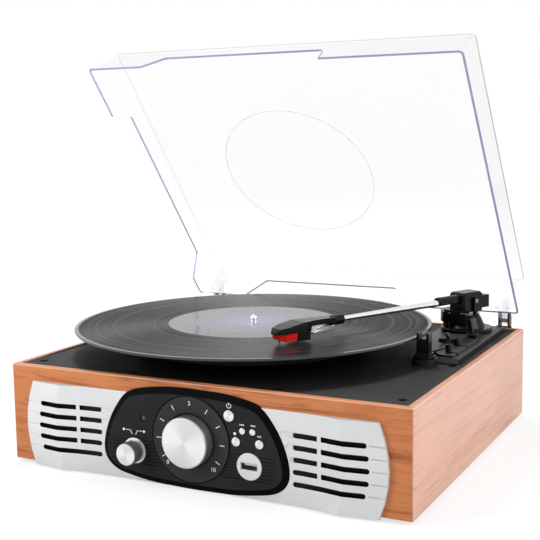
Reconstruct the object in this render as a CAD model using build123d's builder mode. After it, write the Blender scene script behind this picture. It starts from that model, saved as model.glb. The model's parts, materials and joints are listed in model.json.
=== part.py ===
from build123d import *
import math
import os

os.makedirs("parts", exist_ok=True)

# Frame: millimetres, +Z up, origin on the underside of the cabinet floor,
# X across the front, Y from front to back. The rubber feet reach z = -3.

# Cabinet
W = 335.0
D = 298.0
H = 77.0
BOARD = 9.0
EDGE_R = 1.3
FOOT_H = 3.0
FOOT_R = 10.0
FLOOR_T = 3.0
DECK_T = 2.4
DECK_DROP = 1.0
CLEAT = 12.0
CLEAT_H = 6.0
SEAT = 0.2
REBATE = 4.0

FRONT = -D / 2
BACK = D / 2
IN_X = W / 2 - BOARD
IN_Y = D / 2 - BOARD
LIP_X = IN_X + REBATE
LIP_Y = IN_Y + REBATE
DECK_TOP = H - DECK_DROP
DECK_LOW = DECK_TOP - DECK_T

# Fits
RUN = 0.08
LOOSE = 0.35

# Front trim
GRILLE_LOW = -1.5
GRILLE_TOP = 65.3
GRILLE_MID = (GRILLE_LOW + GRILLE_TOP) / 2
GRILLE_END = W / 2 - 15.9
GRILLE_END_CORNER = GRILLE_END - 7.0
CLOTH_T = 0.9
CLOTH_H = 48.0
SLOT_H = 3.7
SLOT_PITCH = 8.75
SLOT_MID_Z = 31.4
SLOT_IN = 80.8
SLOT_BAR = SLOT_IN + 20.6
SLOT_BAR_W = 3.1
SLOT_OUT = GRILLE_END - 13.6
CLOTH_W = SLOT_OUT - SLOT_IN + 2.8
CLOTH_X = (SLOT_IN + SLOT_OUT) / 2 + 0.6
SPEAKER_X = SLOT_OUT - 28.0
SPEAKER_Z = (FLOOR_T + DECK_LOW) / 2
SPEAKER_RIM = 2.0
SPEAKER_R = SPEAKER_Z - FLOOR_T - CLEAT_H - SPEAKER_RIM - 0.3
PANEL_T = 4.0
PANEL_EDGE_T = 1.6
RING_R = 31.9
RING_T = 1.0
DIAL_Z = 36.2
KNOB_R = 18.8
KNOB_L = 8.8
MODE_X = -48.0
MODE_Z = 22.6
MODE_R = 8.1
MODE_SKIRT_R = 9.7
MODE_L = 13.6
USB_X = 48.0
USB_Z = 22.7
USB_R = 9.9
SHAFT_R = 3.0
BOARD_Y = FRONT + 13.0

# Record and platter, placed from the arm pivot
PIV_X = IN_X - 31.65
PIV_Y = IN_Y - 33.5
REC_X = PIV_X - 153.05
REC_Y = PIV_Y - 111.0
REC_R = 150.5
REC_T = 2.0
REC_LOW = DECK_TOP + 18.5
REC_TOP = REC_LOW + REC_T
LABEL_R = 50.0
SPINDLE_R = 3.55
SPINDLE_END_R = 3.2
SPINDLE_TOP = REC_TOP + 5.1
MAT_T = 1.5
PLATTER_R = 98.0
MAT_R = PLATTER_R - 1.5
PLATTER_T = 3.4
DRIVE_R = 60.0
MOTOR_R = 17.5
PULLEY_R = 6.0
PULLEY_D = 79.0
PULLEY_A = 135.0
MOT_X = REC_X + PULLEY_D * math.cos(math.radians(PULLEY_A))
MOT_Y = REC_Y + PULLEY_D * math.sin(math.radians(PULLEY_A))

# Tonearm
ARM_A = 25.0
ARM_L = 210.0
ARM_Z = REC_TOP + 11.9
PLATE_TOP = DECK_TOP + 4.5
TURRET_R = 22.3
TURRET_T = 3.4
CONE_R1 = 16.3
CONE_R2 = 12.2
CONE_TOP = PLATE_TOP + 12.7
BLOCK_F = 13.3
BLOCK_B = 11.7
BLOCK_W = 17.8
BLOCK_LOW = ARM_Z - 10.4
BLOCK_TOP = ARM_Z + 6.6
TUBE_R1 = 2.0
TUBE_R2 = 2.9
REST_X = PIV_X + 3.35
REST_Y = PIV_Y - 124.5
REST_CUP = REC_TOP - 0.2
CUE_Y = PIV_Y - 40.5
CUE_Z = PLATE_TOP + 3.2

# Dust cover, drawn closed and then swung open about its hinge
HINGE_Y = BACK + 3.7
HINGE_Z = H + 5.7
OPEN_ANGLE = 51.2
COVER_X = W / 2 - 2.1
COVER_F = FRONT + 3.3
COVER_B = HINGE_Y - 16.0
COVER_LOW = H + 0.4
COVER_TOP = H + 41.2
COVER_T = 1.9
DRAFT_X = 2.5
DRAFT_F = 13.5
DRAFT_B = 1.0
CUT_Z = COVER_LOW + 21.0
EAR_X = W / 2 - 18.5
PIN_R = 1.6


def front_plane(proud):
    """Plane facing the viewer, a given distance in front of the wood: x to the right, y up."""
    return Plane(origin=(0, FRONT - proud, 0), x_dir=(1, 0, 0), z_dir=(0, -1, 0))


def by_pivot(*points):
    """Deck points that are given from the arm pivot."""
    return [(PIV_X + x, PIV_Y + y) for x, y in points]


def arm_plane(z):
    """Level plane at the arm pivot whose x runs along the arm to the stylus."""
    a = math.radians(ARM_A)
    return Plane(origin=(PIV_X, PIV_Y, z), x_dir=(-math.sin(a), -math.cos(a), 0), z_dir=(0, 0, 1))


def arm_section(s):
    """Upright plane across the arm, s along it from the pivot; x sideways, y up."""
    a = math.radians(ARM_A)
    ux, uy = -math.sin(a), -math.cos(a)
    return Plane(origin=(PIV_X + ux * s, PIV_Y + uy * s, ARM_Z), x_dir=(-uy, ux, 0), z_dir=(ux, uy, 0))


# Wood ring of the cabinet, cut at the mitres into four boards
with BuildPart() as wood_ring:
    with BuildSketch(Plane.XY):
        Rectangle(W, D)
    extrude(amount=H)
    fillet(wood_ring.edges().filter_by(Axis.Z), EDGE_R + 0.5)
    fillet(wood_ring.faces().sort_by(Axis.Z)[-1].edges(), EDGE_R)
    with BuildSketch(Plane.XY):
        Rectangle(2 * IN_X, 2 * IN_Y)
    extrude(amount=H, mode=Mode.SUBTRACT)
    # rebate that takes the edge of the deck and leaves a narrow rim beside it
    with BuildSketch(Plane.XY.offset(DECK_LOW)):
        Rectangle(2 * LIP_X, 2 * LIP_Y)
    extrude(amount=H, mode=Mode.SUBTRACT)

MITRE = 60.0
front_region = [(-W / 2, FRONT), (W / 2, FRONT), (W / 2 - MITRE, FRONT + MITRE), (-W / 2 + MITRE, FRONT + MITRE)]
right_region = [(W / 2, FRONT), (W / 2, BACK), (W / 2 - MITRE, BACK - MITRE), (W / 2 - MITRE, FRONT + MITRE)]

with BuildPart() as cabinet_front:
    with BuildSketch(Plane.XY):
        Polygon(*front_region, align=None)
    extrude(amount=H)
    add(wood_ring.part, mode=Mode.INTERSECT)
    # speaker openings and the window behind the control panel
    with BuildSketch(front_plane(1)):
        with Locations((-SPEAKER_X, SPEAKER_Z), (SPEAKER_X, SPEAKER_Z)):
            Circle(SPEAKER_R - 3)
        with Locations((0, DIAL_Z - 1)):
            Rectangle(118, 52)
    extrude(amount=-(BOARD + 2), mode=Mode.SUBTRACT)
cabinet_front.part.label = "cabinet_front"
export_step(cabinet_front.part, "parts/cabinet_front.step")

JACK_X = -70.0
JACK_Z = 38.0
JACK_W = 120.0
JACK_H = 36.0
with BuildPart() as cabinet_back:
    with BuildSketch(Plane.XY):
        Polygon(*[(-x, -y) for x, y in front_region], align=None)
    extrude(amount=H)
    add(wood_ring.part, mode=Mode.INTERSECT)
    with BuildSketch(Plane(origin=(0, BACK + 1, 0), x_dir=(1, 0, 0), z_dir=(0, -1, 0))):
        with Locations((JACK_X, JACK_Z)):
            Rectangle(JACK_W - 12, JACK_H - 10)
    extrude(amount=BOARD + 2, mode=Mode.SUBTRACT)
cabinet_back.part.label = "cabinet_back"
export_step(cabinet_back.part, "parts/cabinet_back.step")

with BuildPart() as cabinet_right:
    with BuildSketch(Plane.XY):
        Polygon(*right_region, align=None)
    extrude(amount=H)
    add(wood_ring.part, mode=Mode.INTERSECT)
cabinet_right.part.label = "cabinet_right"
export_step(cabinet_right.part, "parts/cabinet_right.step")

with BuildPart() as cabinet_left:
    with BuildSketch(Plane.XY):
        Polygon(*[(-x, -y) for x, y in right_region], align=None)
    extrude(amount=H)
    add(wood_ring.part, mode=Mode.INTERSECT)
cabinet_left.part.label = "cabinet_left"
export_step(cabinet_left.part, "parts/cabinet_left.step")

# Strips glued inside the boards; the deck and the floor are screwed to them
STRIP_X = IN_X - CLEAT / 2
STRIP_Y = IN_Y - CLEAT / 2
floor_holes = [(x, y) for x in (-STRIP_X, 0, STRIP_X) for y in (-STRIP_Y, STRIP_Y)]
deck_holes = [(side * STRIP_X, -STRIP_Y + 6) for side in (-1, 1)]
deck_holes += [(side * 62, -STRIP_Y + 1) for side in (-1, 1)]
deck_holes += [(-STRIP_X, 0), (STRIP_X, REST_Y + 1)]
deck_holes += [(x, STRIP_Y) for x in (-STRIP_X, 0, STRIP_X)]
SCREW_R = 1.4
SCREW_HEAD_R = 3.2
SCREW_HEAD_T = 1.6
with BuildPart() as cabinet_cleats:
    for low in (FLOOR_T, DECK_LOW - CLEAT_H):
        with BuildSketch(Plane.XY.offset(low)):
            Rectangle(2 * IN_X, 2 * IN_Y)
            Rectangle(2 * (IN_X - CLEAT), 2 * (IN_Y - CLEAT), mode=Mode.SUBTRACT)
        extrude(amount=CLEAT_H)
    for low, spots in ((FLOOR_T - 1, floor_holes), (DECK_LOW - CLEAT_H - 1, deck_holes)):
        with BuildSketch(Plane.XY.offset(low)):
            with Locations(*spots):
                Circle(SCREW_R)
        extrude(amount=CLEAT_H + 2, mode=Mode.SUBTRACT)
cabinet_cleats.part.label = "cabinet_cleats"
export_step(cabinet_cleats.part, "parts/cabinet_cleats.step")

# Floor panel with vent slots, and its screws and feet
with BuildPart() as floor_panel:
    with BuildSketch(Plane.XY):
        Rectangle(2 * (IN_X - SEAT), 2 * (IN_Y - SEAT))
        with Locations((0, 70)):
            with GridLocations(14, 0, 7, 1):
                SlotOverall(34, 3, rotation=90, mode=Mode.SUBTRACT)
    extrude(amount=FLOOR_T)
    with Locations(*[(x, y, 0) for x, y in floor_holes]):
        CounterSinkHole(1.5, 3.0, depth=FLOOR_T)
floor_panel.part.label = "floor_panel"
export_step(floor_panel.part, "parts/floor_panel.step")

with BuildPart() as rubber_feet:
    with BuildSketch(Plane.XY.offset(-FOOT_H)):
        with GridLocations(W - 55, D - 54, 2, 2):
            Circle(FOOT_R)
    extrude(amount=FOOT_H)
    fillet(rubber_feet.faces().filter_by(Plane.XY).group_by(Axis.Z)[0].edges(), 0.8)
rubber_feet.part.label = "rubber_feet"
export_step(rubber_feet.part, "parts/rubber_feet.step")

# Deck plate
HOUSING_R = 11.0
MOTOR_BOLTS = 13.5
with BuildPart() as deck_plate:
    with BuildSketch(Plane.XY.offset(DECK_LOW)):
        Rectangle(2 * (LIP_X - SEAT), 2 * (LIP_Y - SEAT))
    extrude(amount=DECK_T)
    # shallow dish round the platter
    with BuildSketch(Plane.XY.offset(DECK_TOP - 0.6)):
        with Locations((REC_X, REC_Y)):
            Circle(PLATTER_R + 4)
    extrude(amount=2, mode=Mode.SUBTRACT)
    with BuildSketch(Plane.XY.offset(DECK_LOW - 1)):
        with Locations((REC_X, REC_Y)):
            Circle(HOUSING_R - 2)
        with Locations((MOT_X, MOT_Y)):
            Circle(PULLEY_R + 2)
            with PolarLocations(MOTOR_BOLTS, 3, start_angle=30):
                Circle(1.6)
        with Locations((PIV_X, PIV_Y)):
            Circle(8.0)
    extrude(amount=DECK_T + 2, mode=Mode.SUBTRACT)
    with Locations(*[(x, y, DECK_TOP) for x, y in deck_holes]):
        CounterBoreHole(1.5, SCREW_HEAD_R + 0.15, SCREW_HEAD_T, depth=DECK_T)
deck_plate.part.label = "deck_plate"
export_step(deck_plate.part, "parts/deck_plate.step")

# Screws of the deck and of the floor
with BuildPart() as screws:
    with Locations(*[(x, y, DECK_TOP - SCREW_HEAD_T) for x, y in deck_holes]):
        Cylinder(SCREW_HEAD_R, SCREW_HEAD_T - 0.2, align=(Align.CENTER, Align.CENTER, Align.MIN))
        Cylinder(SCREW_R, 7, align=(Align.CENTER, Align.CENTER, Align.MAX))
    with Locations(*[(x, y, DECK_TOP - 0.8) for x, y in deck_holes]):
        Box(4.0, 0.8, 2, align=(Align.CENTER, Align.CENTER, Align.MIN), mode=Mode.SUBTRACT)
        Box(0.8, 4.0, 2, align=(Align.CENTER, Align.CENTER, Align.MIN), mode=Mode.SUBTRACT)
    with Locations(*[(x, y, 0) for x, y in floor_holes]):
        Cone(2.8, SCREW_R, 1.4, align=(Align.CENTER, Align.CENTER, Align.MIN))
        Cylinder(SCREW_R, 7.5, align=(Align.CENTER, Align.CENTER, Align.MIN))
screws.part.label = "screws"
export_step(screws.part, "parts/screws.step")

# Outline of the control panel and the places of its buttons
panel_half = [(0, 73.1), (26, 72.2), (44, 69.6), (56.5, 65.2), (64.5, 56.8), (71.0, 46.5), (75.6, 35.5)]
panel_half += [(78.2, 23.5), (77.6, 15.8), (74.2, 9.8), (66.5, 4.6), (54, 1.6), (38, -0.6)]
panel_half += [(18, -1.5), (0, -1.8)]
panel_points = panel_half + [(-x, z) for x, z in reversed(panel_half[1:-1])]
buttons = [
    ("button_power", 32.4, 57.8, 4.2),
    ("button_previous", 43.0, 47.9, 2.4),
    ("button_next", 51.2, 48.1, 2.4),
    ("button_record", 37.8, 39.7, 3.4),
    ("button_play", 56.5, 39.9, 3.3),
]

# Silver trim: bowed ends, an upright ridge over each speaker and five rows of slots
SLOT_ROWS = [SLOT_MID_Z + SLOT_PITCH * k for k in (2, 1, 0, -1, -2)]
SLOT_ENDS = [SLOT_OUT - 1.5, SLOT_OUT, SLOT_OUT + 0.5, SLOT_OUT, SLOT_OUT - 2.3]
TRIM_HALF = (GRILLE_TOP - GRILLE_LOW) / 2
BLIND_REACH = (9.2, 5.4, 2.2)
BLIND_FLOOR = 1.05


def trim_profile(z):
    """Half outline of the trim seen from above at height z: x from the middle and how proud it stands."""
    bow = ((z - GRILLE_MID) / TRIM_HALF) ** 2
    end = GRILLE_END - (GRILLE_END - GRILLE_END_CORNER) * bow
    ridge = GRILLE_END - 31.1 - 4.5 * bow
    flat = [(GRILLE_END - 79.6, 1.4), (GRILLE_END - 63.6, 1.8), (GRILLE_END - 47.6, 3.4)]
    return flat + [(ridge, 6.0), (ridge + 0.45 * (end - ridge), 4.2), (end, 2.8)]


with BuildPart() as front_trim:
    for z in (GRILLE_LOW, 10, 22, GRILLE_MID, 42, 54, GRILLE_TOP):
        half = trim_profile(z)
        right = [(x, FRONT - p) for x, p in half]
        left = [(-x, y) for x, y in reversed(right)]
        outline = [(-half[-1][0], FRONT)] + left + right + [(half[-1][0], FRONT)]
        with BuildSketch(Plane.XY.offset(z)):
            Polygon(*outline, align=None)
    loft(ruled=True)
    for z, out in zip(SLOT_ROWS, SLOT_ENDS):
        for side in (-1, 1):
            with BuildSketch(front_plane(8)):
                with Locations((side * (SLOT_IN + out) / 2, z)):
                    SlotOverall(out - SLOT_IN, SLOT_H)
                if z > SLOT_ROWS[-1] + 1:
                    with Locations((side * SLOT_BAR, z)):
                        Rectangle(SLOT_BAR_W, SLOT_H + 1, mode=Mode.SUBTRACT)
            extrude(amount=-9, mode=Mode.SUBTRACT)
            # fine groove running from the slot to the end of the trim
            half = trim_profile(z)
            slope = (half[4][1] - half[5][1]) / (half[5][0] - half[4][0])
            proud = half[4][1] - slope * (out + 2 - half[4][0])
            groove = [(out + 2, FRONT - proud + 0.5), (half[5][0] + 1, FRONT - 2.8 + 0.6)]
            groove += [(half[5][0] + 1, FRONT - 9), (out + 2, FRONT - 9)]
            with BuildSketch(Plane.XY.offset(z - 0.35)):
                Polygon(*[(side * x, y) for x, y in groove], align=None)
            extrude(amount=0.7, mode=Mode.SUBTRACT)
    # blind ends of the upper slots towards the control panel
    for z, reach in zip(SLOT_ROWS, BLIND_REACH):
        for side in (-1, 1):
            with BuildSketch(front_plane(BLIND_FLOOR)):
                with Locations((side * (SLOT_IN + (4 - reach) / 2), z)):
                    SlotOverall(reach + 4, SLOT_H)
            extrude(amount=6, mode=Mode.SUBTRACT)
    # opening for the control panel
    with BuildSketch(front_plane(8)):
        with BuildLine():
            Spline(*[(1.0016 * x, DIAL_Z + 1.003 * (z - DIAL_Z)) for x, z in panel_points], periodic=True)
        make_face()
    extrude(amount=-9, mode=Mode.SUBTRACT)
    # recess for the speaker cloth
    for side in (-1, 1):
        with BuildSketch(front_plane(0)):
            with Locations((side * CLOTH_X, SLOT_MID_Z)):
                Rectangle(CLOTH_W, CLOTH_H)
        extrude(amount=CLOTH_T, mode=Mode.SUBTRACT)
front_trim.part.label = "front_trim"
export_step(front_trim.part, "parts/front_trim.step")

# Speaker cloth behind the slots
with BuildPart() as speaker_cloth:
    for side in (-1, 1):
        with BuildSketch(front_plane(0)):
            with Locations((side * CLOTH_X, SLOT_MID_Z)):
                Rectangle(CLOTH_W - 2 * SEAT, CLOTH_H - 2 * SEAT)
        extrude(amount=CLOTH_T - 0.1)
speaker_cloth.part.label = "speaker_cloth"
export_step(speaker_cloth.part, "parts/speaker_cloth.step")

SPK_Y = FRONT + BOARD
with BuildPart() as speakers:
    for side in (-1, 1):
        base = Plane(origin=(side * SPEAKER_X, SPK_Y, SPEAKER_Z), x_dir=(1, 0, 0), z_dir=(0, 1, 0))
        with BuildSketch(base):
            Circle(SPEAKER_R + SPEAKER_RIM)
        extrude(amount=2.5)
        with BuildSketch(base.offset(2.5)):
            Circle(SPEAKER_R)
        extrude(amount=14, taper=32)
        with BuildSketch(base.offset(16.5)):
            Circle(17)
        extrude(amount=9)
        # cone of the speaker with its dust cap
        with BuildSketch(base):
            Circle(SPEAKER_R - 3)
        extrude(amount=9, taper=38, mode=Mode.SUBTRACT)
        with BuildSketch(base.offset(6)):
            Circle(9)
        extrude(amount=5)
speakers.part.label = "speakers"
export_step(speakers.part, "parts/speakers.step")

# Control panel
BUTTON_GAP = 0.35
LED_X = -41.0
LED_Z = 47.6
LED_R = 2.4
RIB_LOW = 11.5
RIB_TOP = 31.5
RIBS = 8
with BuildPart() as control_panel:
    with BuildSketch(front_plane(0)):
        with BuildLine():
            Spline(*panel_points, periodic=True)
        make_face()
    extrude(amount=PANEL_T)
    face = control_panel.faces().sort_by(Axis.Y)[0]
    chamfer(face.edges(), length=4.6, length2=PANEL_T - PANEL_EDGE_T, reference=face)
    # hollow back so that the panel sits over the opening
    with BuildSketch(front_plane(0)):
        with Locations((0, DIAL_Z - 1)):
            Rectangle(114, 48)
        for name, x, z, r in buttons:
            with Locations((x, z)):
                Circle(r + 1.3)
    extrude(amount=PANEL_T - 2.0, mode=Mode.SUBTRACT)
    # ribbed bands beside the ring
    with BuildSketch(front_plane(PANEL_T)):
        for k in range(RIBS):
            z = RIB_LOW + (RIB_TOP - RIB_LOW) * (k + 0.5) / RIBS
            inset = 68.6 - 0.45 * max(0.0, 20 - z)
            with Locations((-(inset + 24) / 2, z), ((inset + 24) / 2, z)):
                Rectangle(inset - 24, 0.9)
        with Locations((0, DIAL_Z)):
            Circle(RING_R + 1.2, mode=Mode.SUBTRACT)
        with Locations((MODE_X, MODE_Z)):
            Circle(MODE_SKIRT_R + 1.5, mode=Mode.SUBTRACT)
        with Locations((USB_X, USB_Z)):
            Circle(USB_R + 1.0, mode=Mode.SUBTRACT)
    extrude(amount=-0.6, mode=Mode.SUBTRACT)
    # row of seven dots at the left end of the ribs
    with BuildSketch(front_plane(PANEL_T)):
        for k in range(7):
            z = RIB_TOP - (RIB_TOP - RIB_LOW) * k / 6
            with Locations((-71.2 + 0.35 * max(0.0, 22 - z), z)):
                Circle(0.6)
    extrude(amount=-0.7, mode=Mode.SUBTRACT)
    # groove round the ring, and the holes
    with BuildSketch(front_plane(PANEL_T)):
        with Locations((0, DIAL_Z)):
            Circle(RING_R + 1.0)
            Circle(RING_R, mode=Mode.SUBTRACT)
    extrude(amount=-1.0, mode=Mode.SUBTRACT)
    with BuildSketch(front_plane(PANEL_T + 1)):
        with Locations((0, DIAL_Z)):
            Circle(SHAFT_R + 0.6)
        with Locations((MODE_X, MODE_Z)):
            Circle(SHAFT_R + 0.6)
        with Locations((USB_X, USB_Z)):
            Circle(USB_R - 1.2)
        with Locations((LED_X, LED_Z)):
            Circle(LED_R)
        for name, x, z, r in buttons:
            with Locations((x, z)):
                Circle(r + BUTTON_GAP)
    extrude(amount=-(PANEL_T + 2), mode=Mode.SUBTRACT)
control_panel.part.label = "control_panel"
export_step(control_panel.part, "parts/control_panel.step")

with BuildPart() as volume_ring:
    with BuildSketch(front_plane(PANEL_T)):
        with Locations((0, DIAL_Z)):
            Circle(RING_R - 0.1)
            Circle(KNOB_R + 1.6, mode=Mode.SUBTRACT)
    extrude(amount=RING_T)
    outer = volume_ring.faces().sort_by(Axis.Y)[0].edges().sort_by(SortBy.LENGTH)[-1]
    fillet(outer, 0.5)
volume_ring.part.label = "volume_ring"
export_step(volume_ring.part, "parts/volume_ring.step")

# Large knob with a pointer line at its left, on its shaft
KNOB_BACK = PANEL_T + 0.6
KNOB_FRONT = KNOB_BACK + KNOB_L + 0.8
with BuildPart() as volume_knob:
    with BuildSketch(front_plane(KNOB_BACK)):
        with Locations((0, DIAL_Z)):
            Circle(KNOB_R)
    extrude(amount=KNOB_FRONT - KNOB_BACK)
    chamfer(volume_knob.faces().sort_by(Axis.Y)[0].edges(), 0.7)
    with BuildSketch(front_plane(KNOB_BACK)):
        with Locations((0, DIAL_Z)):
            Circle(KNOB_R - 1.6)
            Circle(SHAFT_R + 2.5, mode=Mode.SUBTRACT)
    extrude(amount=KNOB_FRONT - KNOB_BACK - 1.8, mode=Mode.SUBTRACT)
    with BuildSketch(front_plane(KNOB_BACK)):
        with Locations((0, DIAL_Z)):
            Circle(SHAFT_R)
    extrude(amount=6.5, mode=Mode.SUBTRACT)
    with BuildSketch(front_plane(KNOB_FRONT)):
        with Locations((-15.0, DIAL_Z)):
            SlotOverall(4.6, 0.9)
    extrude(amount=-0.4, mode=Mode.SUBTRACT)
volume_knob.part.label = "volume_knob"
export_step(volume_knob.part, "parts/volume_knob.step")

POT_BACK = -11.0
with BuildPart() as volume_shaft:
    with BuildSketch(front_plane(POT_BACK + 1.5)):
        with Locations((0, DIAL_Z)):
            Circle(SHAFT_R)
    extrude(amount=KNOB_BACK + 6.3 - POT_BACK - 1.5)
volume_shaft.part.label = "volume_shaft"
export_step(volume_shaft.part, "parts/volume_shaft.step")

with BuildPart() as volume_control:
    with BuildSketch(front_plane(POT_BACK)):
        with Locations((0, DIAL_Z)):
            Circle(8.5)
    extrude(amount=7)
    with BuildSketch(front_plane(POT_BACK + 7)):
        with Locations((0, DIAL_Z)):
            Circle(4.6)
    extrude(amount=4.5)
    with BuildSketch(front_plane(POT_BACK + 1.0)):
        with Locations((0, DIAL_Z)):
            Circle(SHAFT_R + RUN)
    extrude(amount=20, mode=Mode.SUBTRACT)
volume_control.part.label = "volume_control"
export_step(volume_control.part, "parts/volume_control.step")

# Mode knob: a wide base and a narrower grip
with BuildPart() as mode_knob:
    with BuildSketch(front_plane(PANEL_T + 0.5)):
        with Locations((MODE_X, MODE_Z)):
            Circle(MODE_SKIRT_R)
    extrude(amount=1.6)
    with BuildSketch(front_plane(PANEL_T + 2.1)):
        with Locations((MODE_X, MODE_Z)):
            Circle(MODE_R + 0.2)
    extrude(amount=MODE_L - 1.6)
    chamfer(mode_knob.faces().sort_by(Axis.Y)[0].edges(), 0.5)
    with BuildSketch(front_plane(PANEL_T + 0.5)):
        with Locations((MODE_X, MODE_Z)):
            Circle(SHAFT_R)
    extrude(amount=9, mode=Mode.SUBTRACT)
mode_knob.part.label = "mode_knob"
export_step(mode_knob.part, "parts/mode_knob.step")

with BuildPart() as mode_shaft:
    with BuildSketch(front_plane(POT_BACK + 1.5)):
        with Locations((MODE_X, MODE_Z)):
            Circle(SHAFT_R)
    extrude(amount=PANEL_T + 9.2 - POT_BACK - 1.5)
mode_shaft.part.label = "mode_shaft"
export_step(mode_shaft.part, "parts/mode_shaft.step")

with BuildPart() as mode_switch:
    with BuildSketch(front_plane(POT_BACK)):
        with Locations((MODE_X, MODE_Z)):
            Rectangle(14, 13)
    extrude(amount=8)
    with BuildSketch(front_plane(POT_BACK + 8)):
        with Locations((MODE_X, MODE_Z)):
            Circle(4.6)
    extrude(amount=3.5)
    with BuildSketch(front_plane(POT_BACK + 1.0)):
        with Locations((MODE_X, MODE_Z)):
            Circle(SHAFT_R + RUN)
    extrude(amount=20, mode=Mode.SUBTRACT)
mode_switch.part.label = "mode_switch"
export_step(mode_switch.part, "parts/mode_switch.step")

# Push buttons, each with a collar behind the panel that stops it
BUTTON_PROUD = 1.2
BUTTON_TRAVEL = 0.8
STEM_R = 1.3
SWITCH_H = 3.4
for name, x, z, r in buttons:
    with BuildPart() as button:
        with BuildSketch(front_plane(PANEL_T - 2.0 - 0.9)):
            with Locations((x, z)):
                Circle(r)
        extrude(amount=BUTTON_PROUD + 2.9)
        fillet(button.faces().sort_by(Axis.Y)[0].edges(), 0.4)
        with BuildSketch(front_plane(PANEL_T - 2.0 - 1.2)):
            with Locations((x, z)):
                Circle(r + 0.9)
        extrude(amount=0.9)
        with BuildSketch(front_plane(POT_BACK + SWITCH_H + 1.2)):
            with Locations((x, z)):
                Circle(STEM_R)
        extrude(amount=-POT_BACK - SWITCH_H)
    button.part.label = name
    export_step(button.part, "parts/" + name + ".step")

with BuildPart() as standby_lamp:
    with BuildSketch(front_plane(POT_BACK)):
        with Locations((LED_X, LED_Z)):
            Circle(LED_R - 0.05)
    extrude(amount=PANEL_T - POT_BACK - 0.5)
    fillet(standby_lamp.faces().sort_by(Axis.Y)[0].edges(), 1.0)
standby_lamp.part.label = "standby_lamp"
export_step(standby_lamp.part, "parts/standby_lamp.step")

USB_W = 13.4
USB_H = 5.6
USB_DEPTH = 17.0
with BuildPart() as usb_bezel:
    with BuildSketch(front_plane(PANEL_T)):
        with Locations((USB_X, USB_Z)):
            Circle(USB_R)
    extrude(amount=0.9)
    with BuildSketch(front_plane(PANEL_T)):
        with Locations((USB_X, USB_Z)):
            Circle(USB_R - 1.3)
    extrude(amount=-2.0)
    fillet(usb_bezel.faces().sort_by(Axis.Y)[0].edges(), 0.4)
    with BuildSketch(front_plane(PANEL_T + 2)):
        with Locations((USB_X, USB_Z)):
            Rectangle(USB_W, USB_H)
    extrude(amount=-8, mode=Mode.SUBTRACT)
usb_bezel.part.label = "usb_bezel"
export_step(usb_bezel.part, "parts/usb_bezel.step")

with BuildPart() as usb_socket:
    with BuildSketch(front_plane(POT_BACK)):
        with Locations((USB_X, USB_Z)):
            Rectangle(USB_W - 0.2, USB_H - 0.2)
    extrude(amount=USB_DEPTH - 1.4)
    with BuildSketch(front_plane(POT_BACK + 3)):
        with Locations((USB_X, USB_Z)):
            Rectangle(USB_W - 0.9, USB_H - 0.9)
    extrude(amount=USB_DEPTH, mode=Mode.SUBTRACT)
    with BuildSketch(front_plane(POT_BACK)):
        with Locations((USB_X, USB_Z + 0.9)):
            Rectangle(USB_W - 3.5, 1.6)
    extrude(amount=USB_DEPTH - 4)
usb_socket.part.label = "usb_socket"
export_step(usb_socket.part, "parts/usb_socket.step")

# Control board behind the panel with the five button switches
with BuildPart() as control_board:
    with BuildSketch(front_plane(POT_BACK)):
        with Locations((0, DIAL_Z - 1)):
            Rectangle(128, 51.6)
    extrude(amount=-1.6)
    for name, x, z, r in buttons:
        with BuildSketch(front_plane(POT_BACK)):
            with Locations((x, z)):
                Rectangle(5, 5)
        extrude(amount=SWITCH_H)
control_board.part.label = "control_board"
export_step(control_board.part, "parts/control_board.step")

# Main board on the floor, with its larger components
with BuildPart() as main_board:
    with BuildSketch(Plane.XY.offset(FLOOR_T + 5)):
        with Locations((60, 60)):
            Rectangle(110, 80)
    extrude(amount=1.6)
    with BuildSketch(Plane.XY.offset(FLOOR_T)):
        with Locations((60, 60)):
            with GridLocations(100, 70, 2, 2):
                Circle(3)
    extrude(amount=5)
    with BuildSketch(Plane.XY.offset(FLOOR_T + 6.6)):
        with Locations((30, 80), (42, 80), (30, 45)):
            Circle(4.5)
    extrude(amount=13)
    with BuildSketch(Plane.XY.offset(FLOOR_T + 6.6)):
        with Locations((80, 60)):
            Rectangle(16, 16)
    extrude(amount=2)
main_board.part.label = "main_board"
export_step(main_board.part, "parts/main_board.step")

# Jack panel let into the back board
JACK_Y = BACK
JACK_XS = [JACK_X - 40, JACK_X - 22, JACK_X + 2]
INLET_X = JACK_X + 36
JACK_R = 4.2
JACK_PANEL_T = 1.8
with BuildPart() as jack_panel:
    with BuildSketch(Plane(origin=(0, JACK_Y, 0), x_dir=(1, 0, 0), z_dir=(0, -1, 0))):
        with Locations((JACK_X, JACK_Z)):
            RectangleRounded(JACK_W, JACK_H, 3)
            with Locations((-JACK_W / 2 + 4, 0), (JACK_W / 2 - 4, 0)):
                Circle(1.2, mode=Mode.SUBTRACT)
        with Locations(*[(x, JACK_Z) for x in JACK_XS]):
            Circle(JACK_R + 0.1, mode=Mode.SUBTRACT)
        with Locations((INLET_X, JACK_Z)):
            Circle(5.3, mode=Mode.SUBTRACT)
    extrude(amount=-JACK_PANEL_T)
jack_panel.part.label = "jack_panel"
export_step(jack_panel.part, "parts/jack_panel.step")

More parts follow.
